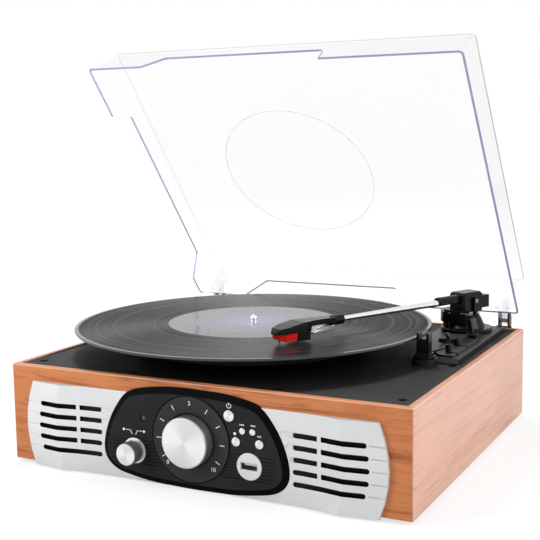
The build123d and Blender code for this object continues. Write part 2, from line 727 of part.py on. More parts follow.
with BuildPart() as line_sockets:
    back_plane = Plane(origin=(0, JACK_Y, 0), x_dir=(1, 0, 0), z_dir=(0, -1, 0))
    with BuildSketch(back_plane.offset(BOARD + 2)):
        with Locations((JACK_X - 19, JACK_Z)):
            Rectangle(60, 18)
    extrude(amount=4)
    with BuildSketch(back_plane.offset(-JACK_PANEL_T - 0.5)):
        with Locations(*[(x, JACK_Z) for x in JACK_XS]):
            Circle(JACK_R - 0.3)
    extrude(amount=JACK_PANEL_T + BOARD + 2.6)
    with BuildSketch(back_plane.offset(-JACK_PANEL_T - 0.5)):
        with Locations(*[(x, JACK_Z) for x in JACK_XS]):
            Circle(JACK_R)
    extrude(amount=-4.2)
    with BuildSketch(back_plane.offset(-6.6)):
        with Locations(*[(x, JACK_Z) for x in JACK_XS]):
            Circle(1.7)
    extrude(amount=11, mode=Mode.SUBTRACT)
line_sockets.part.label = "line_sockets"
export_step(line_sockets.part, "parts/line_sockets.step")

with BuildPart() as power_inlet:
    with BuildSketch(back_plane.offset(-JACK_PANEL_T)):
        with Locations((INLET_X, JACK_Z)):
            Circle(5.2)
    extrude(amount=14)
    with BuildSketch(back_plane.offset(-JACK_PANEL_T - 0.1)):
        with Locations((INLET_X, JACK_Z)):
            Circle(3.2)
            Circle(1.0, mode=Mode.SUBTRACT)
    extrude(amount=10, mode=Mode.SUBTRACT)
power_inlet.part.label = "power_inlet"
export_step(power_inlet.part, "parts/power_inlet.step")

# Bearing, spindle and platter
SPINDLE_LOW = DECK_LOW - 21.6
with BuildPart() as bearing_housing:
    with Locations((REC_X, REC_Y, SPINDLE_LOW - 3)):
        Cylinder(HOUSING_R - 2.2, DECK_TOP + 4.5 - SPINDLE_LOW, align=(Align.CENTER, Align.CENTER, Align.MIN))
    with Locations((REC_X, REC_Y, DECK_LOW - 3)):
        Cylinder(HOUSING_R + 6, 3, align=(Align.CENTER, Align.CENTER, Align.MIN))
    with Locations((REC_X, REC_Y, SPINDLE_LOW - 0.5)):
        Cylinder(SPINDLE_R + RUN, 40, align=(Align.CENTER, Align.CENTER, Align.MIN), mode=Mode.SUBTRACT)
bearing_housing.part.label = "bearing_housing"
export_step(bearing_housing.part, "parts/bearing_housing.step")

with BuildPart() as spindle:
    with Locations((REC_X, REC_Y, SPINDLE_LOW)):
        Cylinder(SPINDLE_R, REC_TOP + 0.4 - SPINDLE_LOW, align=(Align.CENTER, Align.CENTER, Align.MIN))
        Cylinder(SPINDLE_END_R, SPINDLE_TOP - SPINDLE_LOW, align=(Align.CENTER, Align.CENTER, Align.MIN))
    fillet(spindle.faces().sort_by(Axis.Z)[-1].edges(), 2.6)
spindle.part.label = "spindle"
export_step(spindle.part, "parts/spindle.step")

HUB_LOW = DECK_TOP + 3.5
PLATTER_TOP = REC_LOW - MAT_T
with BuildPart() as platter:
    with Locations((REC_X, REC_Y, PLATTER_TOP)):
        Cylinder(PLATTER_R, PLATTER_T, align=(Align.CENTER, Align.CENTER, Align.MAX))
    with BuildSketch(Plane.XY.offset(HUB_LOW)):
        with Locations((REC_X, REC_Y)):
            Circle(PLATTER_R)
            Circle(PLATTER_R - 3, mode=Mode.SUBTRACT)
            Circle(12)
    extrude(amount=PLATTER_TOP - PLATTER_T - HUB_LOW)
    with BuildSketch(Plane.XY.offset(HUB_LOW + 1)):
        with Locations((REC_X, REC_Y)):
            Circle(DRIVE_R)
            Circle(DRIVE_R - 3, mode=Mode.SUBTRACT)
    extrude(amount=PLATTER_TOP - PLATTER_T - HUB_LOW - 1)
    with Locations((REC_X, REC_Y, HUB_LOW - 1)):
        Cylinder(SPINDLE_R, 20, align=(Align.CENTER, Align.CENTER, Align.MIN), mode=Mode.SUBTRACT)
platter.part.label = "platter"
export_step(platter.part, "parts/platter.step")

with BuildPart() as platter_mat:
    with Locations((REC_X, REC_Y, PLATTER_TOP)):
        Cylinder(MAT_R, MAT_T, align=(Align.CENTER, Align.CENTER, Align.MIN))
        Cylinder(SPINDLE_R + 0.1, 3 * MAT_T, mode=Mode.SUBTRACT)
platter_mat.part.label = "platter_mat"
export_step(platter_mat.part, "parts/platter_mat.step")

LABEL_T = 0.3
with BuildPart() as record:
    with Locations((REC_X, REC_Y, REC_LOW)):
        Cylinder(REC_R, REC_T, align=(Align.CENTER, Align.CENTER, Align.MIN))
    chamfer(record.edges().filter_by(GeomType.CIRCLE), 0.5)
    with Locations((REC_X, REC_Y, REC_TOP - LABEL_T)):
        Cylinder(LABEL_R + 0.1, 2, align=(Align.CENTER, Align.CENTER, Align.MIN), mode=Mode.SUBTRACT)
    with Locations((REC_X, REC_Y, REC_LOW)):
        Cylinder(SPINDLE_R + 0.1, 3 * REC_T, mode=Mode.SUBTRACT)
record.part.label = "record"
export_step(record.part, "parts/record.step")

with BuildPart() as record_label:
    with Locations((REC_X, REC_Y, REC_TOP - LABEL_T)):
        Cylinder(LABEL_R, LABEL_T, align=(Align.CENTER, Align.CENTER, Align.MIN))
        Cylinder(SPINDLE_R + 0.1, 3 * REC_T, mode=Mode.SUBTRACT)
record_label.part.label = "record_label"
export_step(record_label.part, "parts/record_label.step")

# Motor with its pulley, and the belt round the drive rim
MOTOR_LOW = DECK_LOW - 27.6
PULLEY_LOW = DECK_TOP + 5.0
PULLEY_TOP = PULLEY_LOW + 7.0
SHAFT_M = 1.0
with BuildPart() as motor:
    with Locations((MOT_X, MOT_Y, MOTOR_LOW)):
        Cylinder(MOTOR_R, DECK_LOW - MOTOR_LOW, align=(Align.CENTER, Align.CENTER, Align.MIN))
    fillet(motor.faces().sort_by(Axis.Z)[0].edges(), 2)
    with Locations((MOT_X, MOT_Y, DECK_LOW)):
        Cylinder(4.0, 1.5, align=(Align.CENTER, Align.CENTER, Align.MIN))
    with Locations((MOT_X, MOT_Y, DECK_LOW - 15)):
        Cylinder(SHAFT_M + 0.06, 30, align=(Align.CENTER, Align.CENTER, Align.MIN), mode=Mode.SUBTRACT)
motor.part.label = "motor"
export_step(motor.part, "parts/motor.step")

with BuildPart() as motor_pulley:
    with Locations((MOT_X, MOT_Y, PULLEY_LOW)):
        Cylinder(PULLEY_R, PULLEY_TOP - PULLEY_LOW, align=(Align.CENTER, Align.CENTER, Align.MIN))
    with BuildSketch(Plane.XY.offset(PULLEY_LOW + 0.8)):
        with Locations((MOT_X, MOT_Y)):
            Circle(PULLEY_R + 1)
            Circle(PULLEY_R - 1, mode=Mode.SUBTRACT)
    extrude(amount=PULLEY_TOP - PULLEY_LOW - 1.6, mode=Mode.SUBTRACT)
    with Locations((MOT_X, MOT_Y, DECK_LOW - 14.5)):
        Cylinder(SHAFT_M, PULLEY_TOP - DECK_LOW + 14.5, align=(Align.CENTER, Align.CENTER, Align.MIN))
motor_pulley.part.label = "motor_pulley"
export_step(motor_pulley.part, "parts/motor_pulley.step")

BELT_T = 0.8
BELT_GAP = 0.35
big = DRIVE_R + BELT_GAP
small = PULLEY_R - 1 + BELT_GAP


def belt_outline(extra):
    """Tangent points of the belt loop round the drive rim and the pulley."""
    r1 = big + extra
    r2 = small + extra
    dx, dy = MOT_X - REC_X, MOT_Y - REC_Y
    dist = math.hypot(dx, dy)
    base = math.atan2(dy, dx)
    half = math.acos((r1 - r2) / dist)
    pts = []
    for sign in (1, -1):
        a = base + sign * half
        pts.append((REC_X + r1 * math.cos(a), REC_Y + r1 * math.sin(a)))
        pts.append((MOT_X + r2 * math.cos(a), MOT_Y + r2 * math.sin(a)))
    return [pts[0], pts[1], pts[3], pts[2]]


with BuildPart() as drive_belt:
    with BuildSketch(Plane.XY.offset(PULLEY_LOW + 1.2)):
        for extra, mode in ((BELT_T, Mode.ADD), (0, Mode.SUBTRACT)):
            with Locations((REC_X, REC_Y)):
                Circle(big + extra, mode=mode)
            with Locations((MOT_X, MOT_Y)):
                Circle(small + extra, mode=mode)
            Polygon(*belt_outline(extra), align=None, mode=mode)
    extrude(amount=4.5)
drive_belt.part.label = "drive_belt"
export_step(drive_belt.part, "parts/drive_belt.step")

# Tonearm base plate with the raised island, the block and the hook
ISLAND_TOP = PLATE_TOP + 2.0
SPEED = (PIV_X + 19.75, PIV_Y - 104.9)
STOP = (PIV_X + 17.75, PIV_Y - 76.5)
LEVER_SLOT = 12.0
LEVER_R = 2.3
with BuildPart() as arm_base:
    plate = [(9.15, -120), (28.35, -120), (26.55, 26.9), (-23.85, 26.9), (-23.85, -44.5), (-7.85, -110.5)]
    plate += [(-4.85, -118.5)]
    with BuildSketch(Plane.XY.offset(DECK_TOP)):
        Polygon(*by_pivot(*plate), align=None)
        with Locations((REST_X, REST_Y)):
            Circle(9.7)
    extrude(amount=PLATE_TOP - DECK_TOP)
    front_edge = arm_base.edges().filter_by(Axis.X).group_by(Axis.Z)[-1].sort_by(Axis.Y)[0]
    chamfer(front_edge, 3.4)
    right_edges = arm_base.edges().group_by(Axis.Z)[-1].sort_by(Axis.X)[-1]
    chamfer(right_edges, 0.8)
    with BuildSketch(Plane.XY.offset(PLATE_TOP)):
        with BuildLine():
            island = by_pivot((17.15, -115.5), (23.75, -115.5), (23.15, -46.5), (-2.85, -46.5), (-2.85, -60.5))
            island += by_pivot((7.15, -92.5), (7.15, -105.5))
            Polyline(*island)
            RadiusArc(island[0], island[-1], 10)
        make_face()
    extrude(amount=ISLAND_TOP - PLATE_TOP)
    fillet(arm_base.faces().filter_by(Plane.XY).sort_by(Axis.Z)[-1].edges(), 0.6)
    with BuildSketch(Plane.XY.offset(ISLAND_TOP - 0.2)):
        with Locations((PIV_X + 6.65, PIV_Y - 59)):
            Rectangle(18, 24)
    extrude(amount=3.6)
    # fine groove beside the right edge
    with BuildSketch(Plane.XY.offset(PLATE_TOP)):
        Polygon(*by_pivot((24.45, -60.5), (25.05, -60.5), (22.95, 24.5), (22.35, 24.5)), align=None)
    extrude(amount=-0.6, mode=Mode.SUBTRACT)
    # slots of the two levers
    with BuildSketch(Plane.XY.offset(ISLAND_TOP + 0.1)):
        with Locations(SPEED, STOP):
            SlotOverall(LEVER_SLOT, 2 * 1.1 + 0.7)
    extrude(amount=-(ISLAND_TOP - PLATE_TOP + 4.2), mode=Mode.SUBTRACT)
    with BuildSketch(Plane.XY.offset(DECK_TOP)):
        with Locations((PIV_X, PIV_Y)):
            Circle(5.0)
    extrude(amount=PLATE_TOP - DECK_TOP, mode=Mode.SUBTRACT)
    # hook beside the record
    hook = [(0, -0.2), (7, -0.2), (6.5, 8), (3.5, 11.5), (-1, 11.5), (-1, 9.3)]
    hook += [(2.1, 8.5), (3.1, 5.5), (2.5, 2.1)]
    with BuildSketch(Plane(origin=(PIV_X + 8.75, PIV_Y - 88, ISLAND_TOP), x_dir=(0, 1, 0), z_dir=(1, 0, 0))):
        Polygon(*hook, align=None)
    extrude(amount=2.4)
    # brace from the island to the arm rest
    with BuildSketch(Plane.XY.offset(PLATE_TOP)):
        Polygon(*by_pivot((2.65, -114.5), (4.65, -115.5), (10.65, -90.5), (8.65, -89.5)), align=None)
    extrude(amount=3.2)
    # cue lever bracket
    with BuildSketch(Plane.XY.offset(PLATE_TOP)):
        with Locations((PIV_X + 13.55, CUE_Y), (PIV_X + 20.75, CUE_Y)):
            Rectangle(1.6, 7)
    extrude(amount=5.2)
    with BuildSketch(Plane(origin=(PIV_X + 11.15, 0, 0), x_dir=(0, 1, 0), z_dir=(1, 0, 0))):
        with Locations((CUE_Y, CUE_Z)):
            Circle(1.0)
    extrude(amount=12, mode=Mode.SUBTRACT)
arm_base.part.label = "arm_base"
export_step(arm_base.part, "parts/arm_base.step")

with BuildPart() as arm_rest:
    with BuildSketch(Plane.XY.offset(PLATE_TOP)):
        with Locations((REST_X, REST_Y)):
            Circle(8.8)
    extrude(amount=2.2)
    with BuildSketch(Plane.XY.offset(PLATE_TOP + 2.2)):
        with Locations((REST_X, REST_Y)):
            RectangleRounded(13, 12, 2)
    extrude(amount=1.8)
    with BuildSketch(Plane.XY.offset(PLATE_TOP + 4)):
        with Locations((REST_X, REST_Y)):
            Rectangle(10, 7.5)
    extrude(amount=REST_CUP - PLATE_TOP - 4)
    with BuildSketch(Plane.XY.offset(REST_CUP)):
        with Locations((REST_X - 3.9, REST_Y), (REST_X + 3.9, REST_Y)):
            Rectangle(2.2, 7.5)
    extrude(amount=4.4)
    chamfer(arm_rest.faces().filter_by(Plane.XY).group_by(Axis.Z)[-1].edges().filter_by(Axis.Y), 0.6)
arm_rest.part.label = "arm_rest"
export_step(arm_rest.part, "parts/arm_rest.step")

for name, spot, rise in (("speed_lever", SPEED, 6.6), ("stop_lever", STOP, 5.7)):
    with BuildPart() as lever:
        with BuildSketch(Plane.XY.offset(PLATE_TOP - 1.6)):
            with Locations((spot[0] - 3.0, spot[1])):
                Circle(1.1)
        extrude(amount=ISLAND_TOP - PLATE_TOP + 2.4)
        with BuildSketch(Plane.XY.offset(ISLAND_TOP + 0.35)):
            with Locations((spot[0] - 3.0, spot[1])):
                Circle(LEVER_R)
        extrude(amount=rise - 0.35)
        chamfer(lever.faces().sort_by(Axis.Z)[-1].edges(), 0.4)
    lever.part.label = name
    export_step(lever.part, "parts/" + name + ".step")

# Turret: disc, cone and the curved housing of the cue lift
YOKE_SHAFT = 4.0
DRUM_IN = 17.4
DRUM_OUT = 22.5
DRUM_LOW = PLATE_TOP + 8.7
SHELF_A1 = 228.0
SHELF_A2 = 292.0


def sector(r, a1, a2):
    """Pie slice round the arm pivot, angles in degrees."""
    pts = [(PIV_X, PIV_Y)]
    steps = 12
    for k in range(steps + 1):
        a = math.radians(a1 + (a2 - a1) * k / steps)
        pts.append((PIV_X + 2 * r * math.cos(a), PIV_Y + 2 * r * math.sin(a)))
    return pts


with BuildPart() as arm_turret:
    with Locations((PIV_X, PIV_Y, PLATE_TOP)):
        Cylinder(TURRET_R, TURRET_T, align=(Align.CENTER, Align.CENTER, Align.MIN))
    chamfer(arm_turret.faces().sort_by(Axis.Z)[-1].edges(), 0.6)
    with Locations((PIV_X, PIV_Y, PLATE_TOP + TURRET_T)):
        Cone(CONE_R1, CONE_R2, CONE_TOP - PLATE_TOP - TURRET_T, align=(Align.CENTER, Align.CENTER, Align.MIN))
    for low, high, r_in, r_out, a1, a2 in (
        (PLATE_TOP + TURRET_T - 0.2, DRUM_LOW + 0.8, 17.6, 20.4, 152, 236),
        (DRUM_LOW, DRUM_LOW + 9.2, DRUM_IN, DRUM_OUT, 132, SHELF_A1),
        (DRUM_LOW + 0.6, DRUM_LOW + 8.4, DRUM_IN, DRUM_OUT - 1.2, SHELF_A1 - 1, SHELF_A2 - 6),
    ):
        with BuildSketch(Plane.XY.offset(low)):
            with Locations((PIV_X, PIV_Y)):
                Circle(r_out)
                Circle(r_in, mode=Mode.SUBTRACT)
            Polygon(*sector(r_out, a1, a2), align=None, mode=Mode.INTERSECT)
        extrude(amount=high - low)
    with Locations((PIV_X, PIV_Y, PLATE_TOP)):
        Cylinder(YOKE_SHAFT + RUN, 40, align=(Align.CENTER, Align.CENTER, Align.MIN), mode=Mode.SUBTRACT)
arm_turret.part.label = "arm_turret"
export_step(arm_turret.part, "parts/arm_turret.step")

with BuildPart() as cue_platform:
    with BuildSketch(Plane.XY.offset(DRUM_LOW + 9.8)):
        with Locations((PIV_X, PIV_Y)):
            Circle(DRUM_OUT + 0.6)
            Circle(DRUM_IN, mode=Mode.SUBTRACT)
        Polygon(*sector(DRUM_OUT, SHELF_A1 + 1, SHELF_A2), align=None, mode=Mode.INTERSECT)
    extrude(amount=2.0)
cue_platform.part.label = "cue_platform"
export_step(cue_platform.part, "parts/cue_platform.step")

with BuildPart() as cue_lever:
    with BuildSketch(Plane(origin=(PIV_X, CUE_Y - 0.8, PLATE_TOP), x_dir=(1, 0, 0), z_dir=(0, 1, 0))):
        Polygon((19.05, -1.2), (15.35, -1.2), (12.15, -16.5), (15.75, -17.9), align=None)
    extrude(amount=1.6)
    with BuildSketch(Plane(origin=(PIV_X + 10.35, CUE_Y, PLATE_TOP), x_dir=(0, 1, 0), z_dir=(1, 0, 0))):
        with Locations((0, 16.7)):
            Rectangle(3.4, 1.6)
    extrude(amount=5.0)
    with BuildSketch(Plane(origin=(PIV_X + 12.15, CUE_Y, CUE_Z), x_dir=(0, 1, 0), z_dir=(1, 0, 0))):
        Circle(1.0 - 0.06)
    extrude(amount=10)
    with BuildSketch(Plane(origin=(PIV_X + 15.15, CUE_Y, CUE_Z), x_dir=(0, 1, 0), z_dir=(1, 0, 0))):
        Circle(2.2)
    extrude(amount=4.4)
cue_lever.part.label = "cue_lever"
export_step(cue_lever.part, "parts/cue_lever.step")

# Yoke that turns on the turret and carries the arm between its cheeks
GIMBAL_Z = ARM_Z - 0.6
CHEEK_IN = BLOCK_W / 2 + 0.4
CHEEK_T = 1.8
YOKE_LOW = CONE_TOP + 0.35
with BuildPart() as arm_yoke:
    with Locations((PIV_X, PIV_Y, DECK_LOW - 3.6)):
        Cylinder(YOKE_SHAFT, YOKE_LOW - DECK_LOW + 3.6, align=(Align.CENTER, Align.CENTER, Align.MIN))
    with Locations((PIV_X, PIV_Y, YOKE_LOW)):
        Cylinder(CHEEK_IN + CHEEK_T + 0.2, 1.6, align=(Align.CENTER, Align.CENTER, Align.MIN))
    for side in (-1, 1):
        with BuildSketch(arm_plane(YOKE_LOW)):
            with Locations((0, side * (CHEEK_IN + CHEEK_T / 2))):
                Rectangle(4.6, CHEEK_T)
        extrude(amount=GIMBAL_Z + 2.4 - YOKE_LOW)
    with BuildSketch(Plane(origin=arm_plane(GIMBAL_Z).origin, x_dir=arm_plane(0).x_dir, z_dir=arm_plane(0).y_dir)):
        Circle(1.3)
    extrude(amount=15, both=True, mode=Mode.SUBTRACT)
arm_yoke.part.label = "arm_yoke"
export_step(arm_yoke.part, "parts/arm_yoke.step")

gimbal = Plane(origin=arm_plane(GIMBAL_Z).origin, x_dir=arm_plane(0).x_dir, z_dir=arm_plane(0).y_dir)
with BuildPart() as gimbal_screws:
    for side in (-1, 1):
        with BuildSketch(gimbal.offset(side * (CHEEK_IN - 3.5))):
            Circle(1.25)
        extrude(amount=side * (CHEEK_T + 3.5))
        with BuildSketch(gimbal.offset(side * (CHEEK_IN + CHEEK_T))):
            Circle(1.9)
        extrude(amount=side * 0.9)
        with Locations(arm_plane(YOKE_LOW + 3.3).location):
            with Locations((0, side * (CHEEK_IN + CHEEK_T + 1.75), 0)):
                Sphere(1.7)
gimbal_screws.part.label = "gimbal_screws"
export_step(gimbal_screws.part, "parts/gimbal_screws.step")

# Bearing box with the half-round hood over the tube and the counterweight behind
with BuildPart() as arm_block:
    with BuildSketch(arm_plane(BLOCK_LOW)):
        with Locations(((BLOCK_F - BLOCK_B) / 2, 0)):
            Rectangle(BLOCK_F + BLOCK_B, BLOCK_W)
    extrude(amount=BLOCK_TOP - BLOCK_LOW)
    chamfer(arm_block.edges().filter_by(Axis.Z), 1.6)
    chamfer(arm_block.faces().sort_by(Axis.Z)[-1].edges(), 2.0)
    with BuildSketch(arm_plane(ARM_Z - 8.4)):
        with Locations((-BLOCK_B - 4.5, 0)):
            Rectangle(9.0, 15.5)
    extrude(amount=11)
    with BuildSketch(arm_section(BLOCK_F - 0.5)):
        Circle(TUBE_R2 + 1.9)
        with Locations((0, -TUBE_R2 - 1.9)):
            Rectangle(12, 2 * TUBE_R2 + 1.0, mode=Mode.SUBTRACT)
        Circle(TUBE_R2 + 0.02, mode=Mode.SUBTRACT)
    extrude(amount=24.2)
    with BuildSketch(arm_section(BLOCK_F - 9)):
        Circle(TUBE_R2)
    extrude(amount=12, mode=Mode.SUBTRACT)
    with BuildSketch(gimbal):
        Circle(1.25 + 0.06)
    extrude(amount=12, both=True, mode=Mode.SUBTRACT)
arm_block.part.label = "arm_block"
export_step(arm_block.part, "parts/arm_block.step")

COLLAR_S = ARM_L - 63.0
with BuildPart() as arm_tube:
    with BuildSketch(arm_section(BLOCK_F - 9)):
        Circle(TUBE_R2)
    extrude(amount=9 + 24.2)
    with BuildSketch(arm_section(BLOCK_F + 24.2)):
        Circle(TUBE_R2)
    with BuildSketch(arm_section(COLLAR_S)):
        Circle(TUBE_R1)
    loft()
    with BuildSketch(arm_section(COLLAR_S)):
        Circle(TUBE_R1)
    extrude(amount=8)
arm_tube.part.label = "arm_tube"
export_step(arm_tube.part, "parts/arm_tube.step")

# Headshell, drawn in side view with s measured from the stylus towards the pivot
SHELL_W = 16.4
SHELL_TOP = ARM_Z + 3.2
CART_BACK = 13.0
CART_END = 25.0


def side_plane(offset):
    """Upright plane along the arm through the pivot; x is s from the stylus, y is z."""
    a = math.radians(ARM_A)
    ux, uy = math.sin(a), math.cos(a)
    nx, ny = uy, -ux
    tip = (PIV_X - ARM_L * ux + nx * offset, PIV_Y - ARM_L * uy + ny * offset, 0)
    return Plane(origin=tip, x_dir=(ux, uy, 0), z_dir=(nx, ny, 0))


def top_plane(z):
    """Level plane whose x runs along the arm from the stylus."""
    p = side_plane(0)
    return Plane(origin=(p.origin.X, p.origin.Y, z), x_dir=(p.x_dir.X, p.x_dir.Y, 0), z_dir=(0, 0, 1))


shell_top_view = [(-6.2, 2.6), (-2.8, 5.6), (4, 8.2), (21, 8.2), (30, 6.2), (53, 5.0)]
shell_outline = shell_top_view + [(s, -w) for s, w in reversed(shell_top_view)]
shell_side = [(-6.2, -6.6), (-5.5, -4.9), (-2.6, -2.9), (8, -0.9), (19, 0.6), (36, 0.5), (53, 0)]
shell_side += [(53, -5.0), (36, -3.7), (26.3, -3.6), (25.5, -7.2), (CART_BACK, -7.2)]
shell_side += [(CART_BACK, -6.2), (-5.2, -7.2)]
with BuildPart() as headshell:
    with BuildSketch(side_plane(0)):
        Polygon(*[(s, SHELL_TOP + z) for s, z in shell_side], align=None)
    extrude(amount=SHELL_W / 2, both=True)
    with BuildSketch(top_plane(SHELL_TOP - 16.6)):
        Polygon(*shell_outline, align=None)
    extrude(amount=30, mode=Mode.INTERSECT)
    with BuildSketch(arm_section(COLLAR_S)):
        Circle(TUBE_R1 + 2.0)
    extrude(amount=ARM_L - 52.0 - COLLAR_S)
    with BuildSketch(arm_section(COLLAR_S)):
        Circle(TUBE_R1)
    extrude(amount=8, mode=Mode.SUBTRACT)
headshell.part.label = "headshell"
export_step(headshell.part, "parts/headshell.step")

CART_TOP = SHELL_TOP - 7.2
with BuildPart() as cartridge:
    with BuildSketch(side_plane(0)):
        body = [(CART_BACK, 0), (CART_END, 0), (CART_END, -6.7), (19, -6.4), (CART_BACK, -6.0)]
        Polygon(*[(s, CART_TOP + z) for s, z in body], align=None)
    extrude(amount=7.0, both=True)
    for k in range(4):
        with BuildSketch(Plane(origin=side_plane(-4.5 + 3 * k).from_local_coords((CART_END, CART_TOP - 2.2, 0)),
                               x_dir=side_plane(0).z_dir, z_dir=side_plane(0).x_dir)):
            Circle(0.55)
        extrude(amount=4.5)
cartridge.part.label = "cartridge"
export_step(cartridge.part, "parts/cartridge.step")

with BuildPart() as stylus:
    with BuildSketch(side_plane(0)):
        body = [(-4.6, 0), (CART_BACK, 1.0), (CART_BACK - 1.0, -5.2), (2, -5.8), (-3.2, -3.8)]
        Polygon(*[(s, CART_TOP + z) for s, z in body], align=None)
    extrude(amount=6.6, both=True)
    with BuildSketch(top_plane(CART_TOP - 10)):
        Polygon((-4.7, 3.0), (2.5, 6.7), (14, 6.7), (14, -6.7), (2.5, -6.7), (-4.7, -3.0), align=None)
    extrude(amount=20, mode=Mode.INTERSECT)
    with BuildSketch(side_plane(0)):
        tip = [(-0.6, CART_TOP - 4.7), (0.5, CART_TOP - 4.8), (0.3, REC_TOP + 0.35), (-0.2, REC_TOP + 0.35)]
        Polygon(*tip, align=None)
    extrude(amount=0.4, both=True)
stylus.part.label = "stylus"
export_step(stylus.part, "parts/stylus.step")

# Leads from the cartridge pins to the collar
with BuildPart() as cartridge_leads:
    for k in range(4):
        side = -4.5 + 3 * k
        path = [(CART_END + 4.7, -2.2, side), (35, 0.4 * k - 2.8, side * 1.1)]
        path += [(43, -1.4, side * 0.9), (51.7, 0.9, side * 0.5)]
        pts = [side_plane(0).from_local_coords((s, CART_TOP + z, y)) for s, z, y in path]
        with BuildLine() as route:
            Spline(*pts)
        with BuildSketch(Plane(origin=pts[0], z_dir=route.line % 0)):
            Circle(0.5)
        sweep(path=route.line)
cartridge_leads.part.label = "cartridge_leads"
export_step(cartridge_leads.part, "parts/cartridge_leads.step")

# Dust cover: a drafted clear shell with three cut-outs, hinge ears and a moulded circle
COVER_INSET = 3.0
EAR_W = 6.0
EAR_R = 3.2


def cover_ring(z, inward):
    """Outline of the cover at height z, a wall thickness inside when inward is given."""
    share = (z - COVER_LOW) / (COVER_TOP - COVER_LOW)
    x = COVER_X - DRAFT_X * share - inward
    front = COVER_F + DRAFT_F * share + inward
    rear = COVER_B - DRAFT_B * share - inward
    return 2 * x, rear - front, (rear + front) / 2


def cut_out(middle, *stations):
    """Outline of a cut-out over the record: six stations from the record's middle, ramping up and down."""
    heights = (COVER_LOW - 3, COVER_LOW, CUT_Z, CUT_Z, COVER_LOW, COVER_LOW - 3)
    return [(middle + x, z) for x, z in zip(stations, heights)]


with BuildPart() as dust_cover:
    for z in (COVER_LOW, COVER_TOP):
        w, d, mid = cover_ring(z, 0)
        with BuildSketch(Plane.XY.offset(z)):
            with Locations((0, mid)):
                RectangleRounded(w, d, 4)
    loft()
    fillet(dust_cover.faces().sort_by(Axis.Z)[-1].edges(), 1.6)
    for z in (COVER_LOW - 1, COVER_TOP - COVER_T):
        w, d, mid = cover_ring(z, COVER_T)
        with BuildSketch(Plane.XY.offset(z)):
            with Locations((0, mid)):
                RectangleRounded(w, d, 2.4)
    loft(mode=Mode.SUBTRACT)
    # cut-outs that clear the record, with rounded ramps
    with BuildSketch(front_plane(10)):
        Polygon(*cut_out(REC_X, -87.8, -85.3, -73.3, 72.7, 77.2, 78.2), align=None)
    extrude(amount=-50, mode=Mode.SUBTRACT)
    with BuildSketch(Plane(origin=(-COVER_X - 24.6, 0, 0), x_dir=(0, 1, 0), z_dir=(1, 0, 0))):
        Polygon(*cut_out(REC_Y, -91.5, -89.5, -72.5, 102.5, 118.5, 120.5), align=None)
    extrude(amount=60, mode=Mode.SUBTRACT)
    with BuildSketch(Plane(origin=(0, COVER_B + 33.3, 0), x_dir=(1, 0, 0), z_dir=(0, -1, 0))):
        Polygon(*cut_out(REC_X, -87.8, -85.8, -68.8, 69.2, 86.2, 88.2), align=None)
    extrude(amount=60, mode=Mode.SUBTRACT)
    ramps = dust_cover.edges().filter_by(lambda e: abs(e.center().Z - CUT_Z) < 0.5 and e.length < 2.6)
    fillet(ramps, 5)
    # hinge ears
    for side in (-1, 1):
        ear = Plane(origin=(side * EAR_X - EAR_W / 2, 0, 0), x_dir=(0, 1, 0), z_dir=(1, 0, 0))
        with BuildSketch(ear):
            with Locations((HINGE_Y, HINGE_Z)):
                Circle(EAR_R)
            root = [(COVER_B - 1.7, HINGE_Z - 3.0), (COVER_B - 2.3, HINGE_Z + 15.3)]
            Polygon(root[0], (HINGE_Y, HINGE_Z - EAR_R), (HINGE_Y, HINGE_Z + EAR_R), root[1], align=None)
        extrude(amount=EAR_W)
        with BuildSketch(ear.offset(-4)):
            pad = [(-0.9, COVER_LOW + 6.6), (1.3, COVER_LOW + 6.6), (-0.3, COVER_TOP - 3.6), (-2.5, COVER_TOP - 3.6)]
            Polygon(*[(COVER_B + y, z) for y, z in pad], align=None)
        extrude(amount=EAR_W + 8)
        with BuildSketch(ear.offset(-1)):
            with Locations((HINGE_Y, HINGE_Z)):
                Circle(PIN_R + RUN)
        extrude(amount=EAR_W + 2, mode=Mode.SUBTRACT)
    # moulded circle on the top
    with BuildSketch(Plane.XY.offset(COVER_TOP)):
        with Locations((REC_X - 0.8, REC_Y + 11.5)):
            Circle(72)
            Circle(71.5, mode=Mode.SUBTRACT)
    extrude(amount=-0.25, mode=Mode.SUBTRACT)
swung = dust_cover.part.rotate(Axis((0, HINGE_Y, HINGE_Z), (1, 0, 0)), -OPEN_ANGLE)
swung.label = "dust_cover"
export_step(swung, "parts/dust_cover.step")

# Hinge clips on the back board, each holding a pin between two cheeks
with BuildPart() as hinge_clips:
    for side in (-1, 1):
        clip = Plane(origin=(side * EAR_X, 0, 0), x_dir=(0, 1, 0), z_dir=(1, 0, 0))
        with BuildSketch(Plane(origin=(side * EAR_X, BACK, 0), x_dir=(1, 0, 0), z_dir=(0, -1, 0))):
            with Locations((0, HINGE_Z - 15.7)):
                Rectangle(14, 22)
        extrude(amount=-1.6)
        for shift in (-EAR_W / 2 - 0.5 - 1.6, EAR_W / 2 + 0.5):
            cheek = [(BACK, -24.7), (BACK + 4, -22.7), (HINGE_Y + 4.6, -4.7), (HINGE_Y + 4.6, 3.3)]
            cheek += [(HINGE_Y + 1.4, 7.8)]
            cheek += [(BACK + 0.6, 7.8), (BACK, 5.3)]
            with BuildSketch(clip.offset(shift)):
                Polygon(*[(y, HINGE_Z + z) for y, z in cheek], align=None)
            extrude(amount=1.6)
        with BuildSketch(clip.offset(-EAR_W / 2 - 2.1)):
            with Locations((HINGE_Y, HINGE_Z)):
                Circle(PIN_R)
        extrude(amount=EAR_W + 4.2)
        with BuildSketch(Plane(origin=(side * EAR_X, BACK + 1.6, 0), x_dir=(1, 0, 0), z_dir=(0, 1, 0))):
            with Locations((0, 18.7 - HINGE_Z), (0, 11.7 - HINGE_Z)):
                Circle(2.4)
        extrude(amount=1.2)
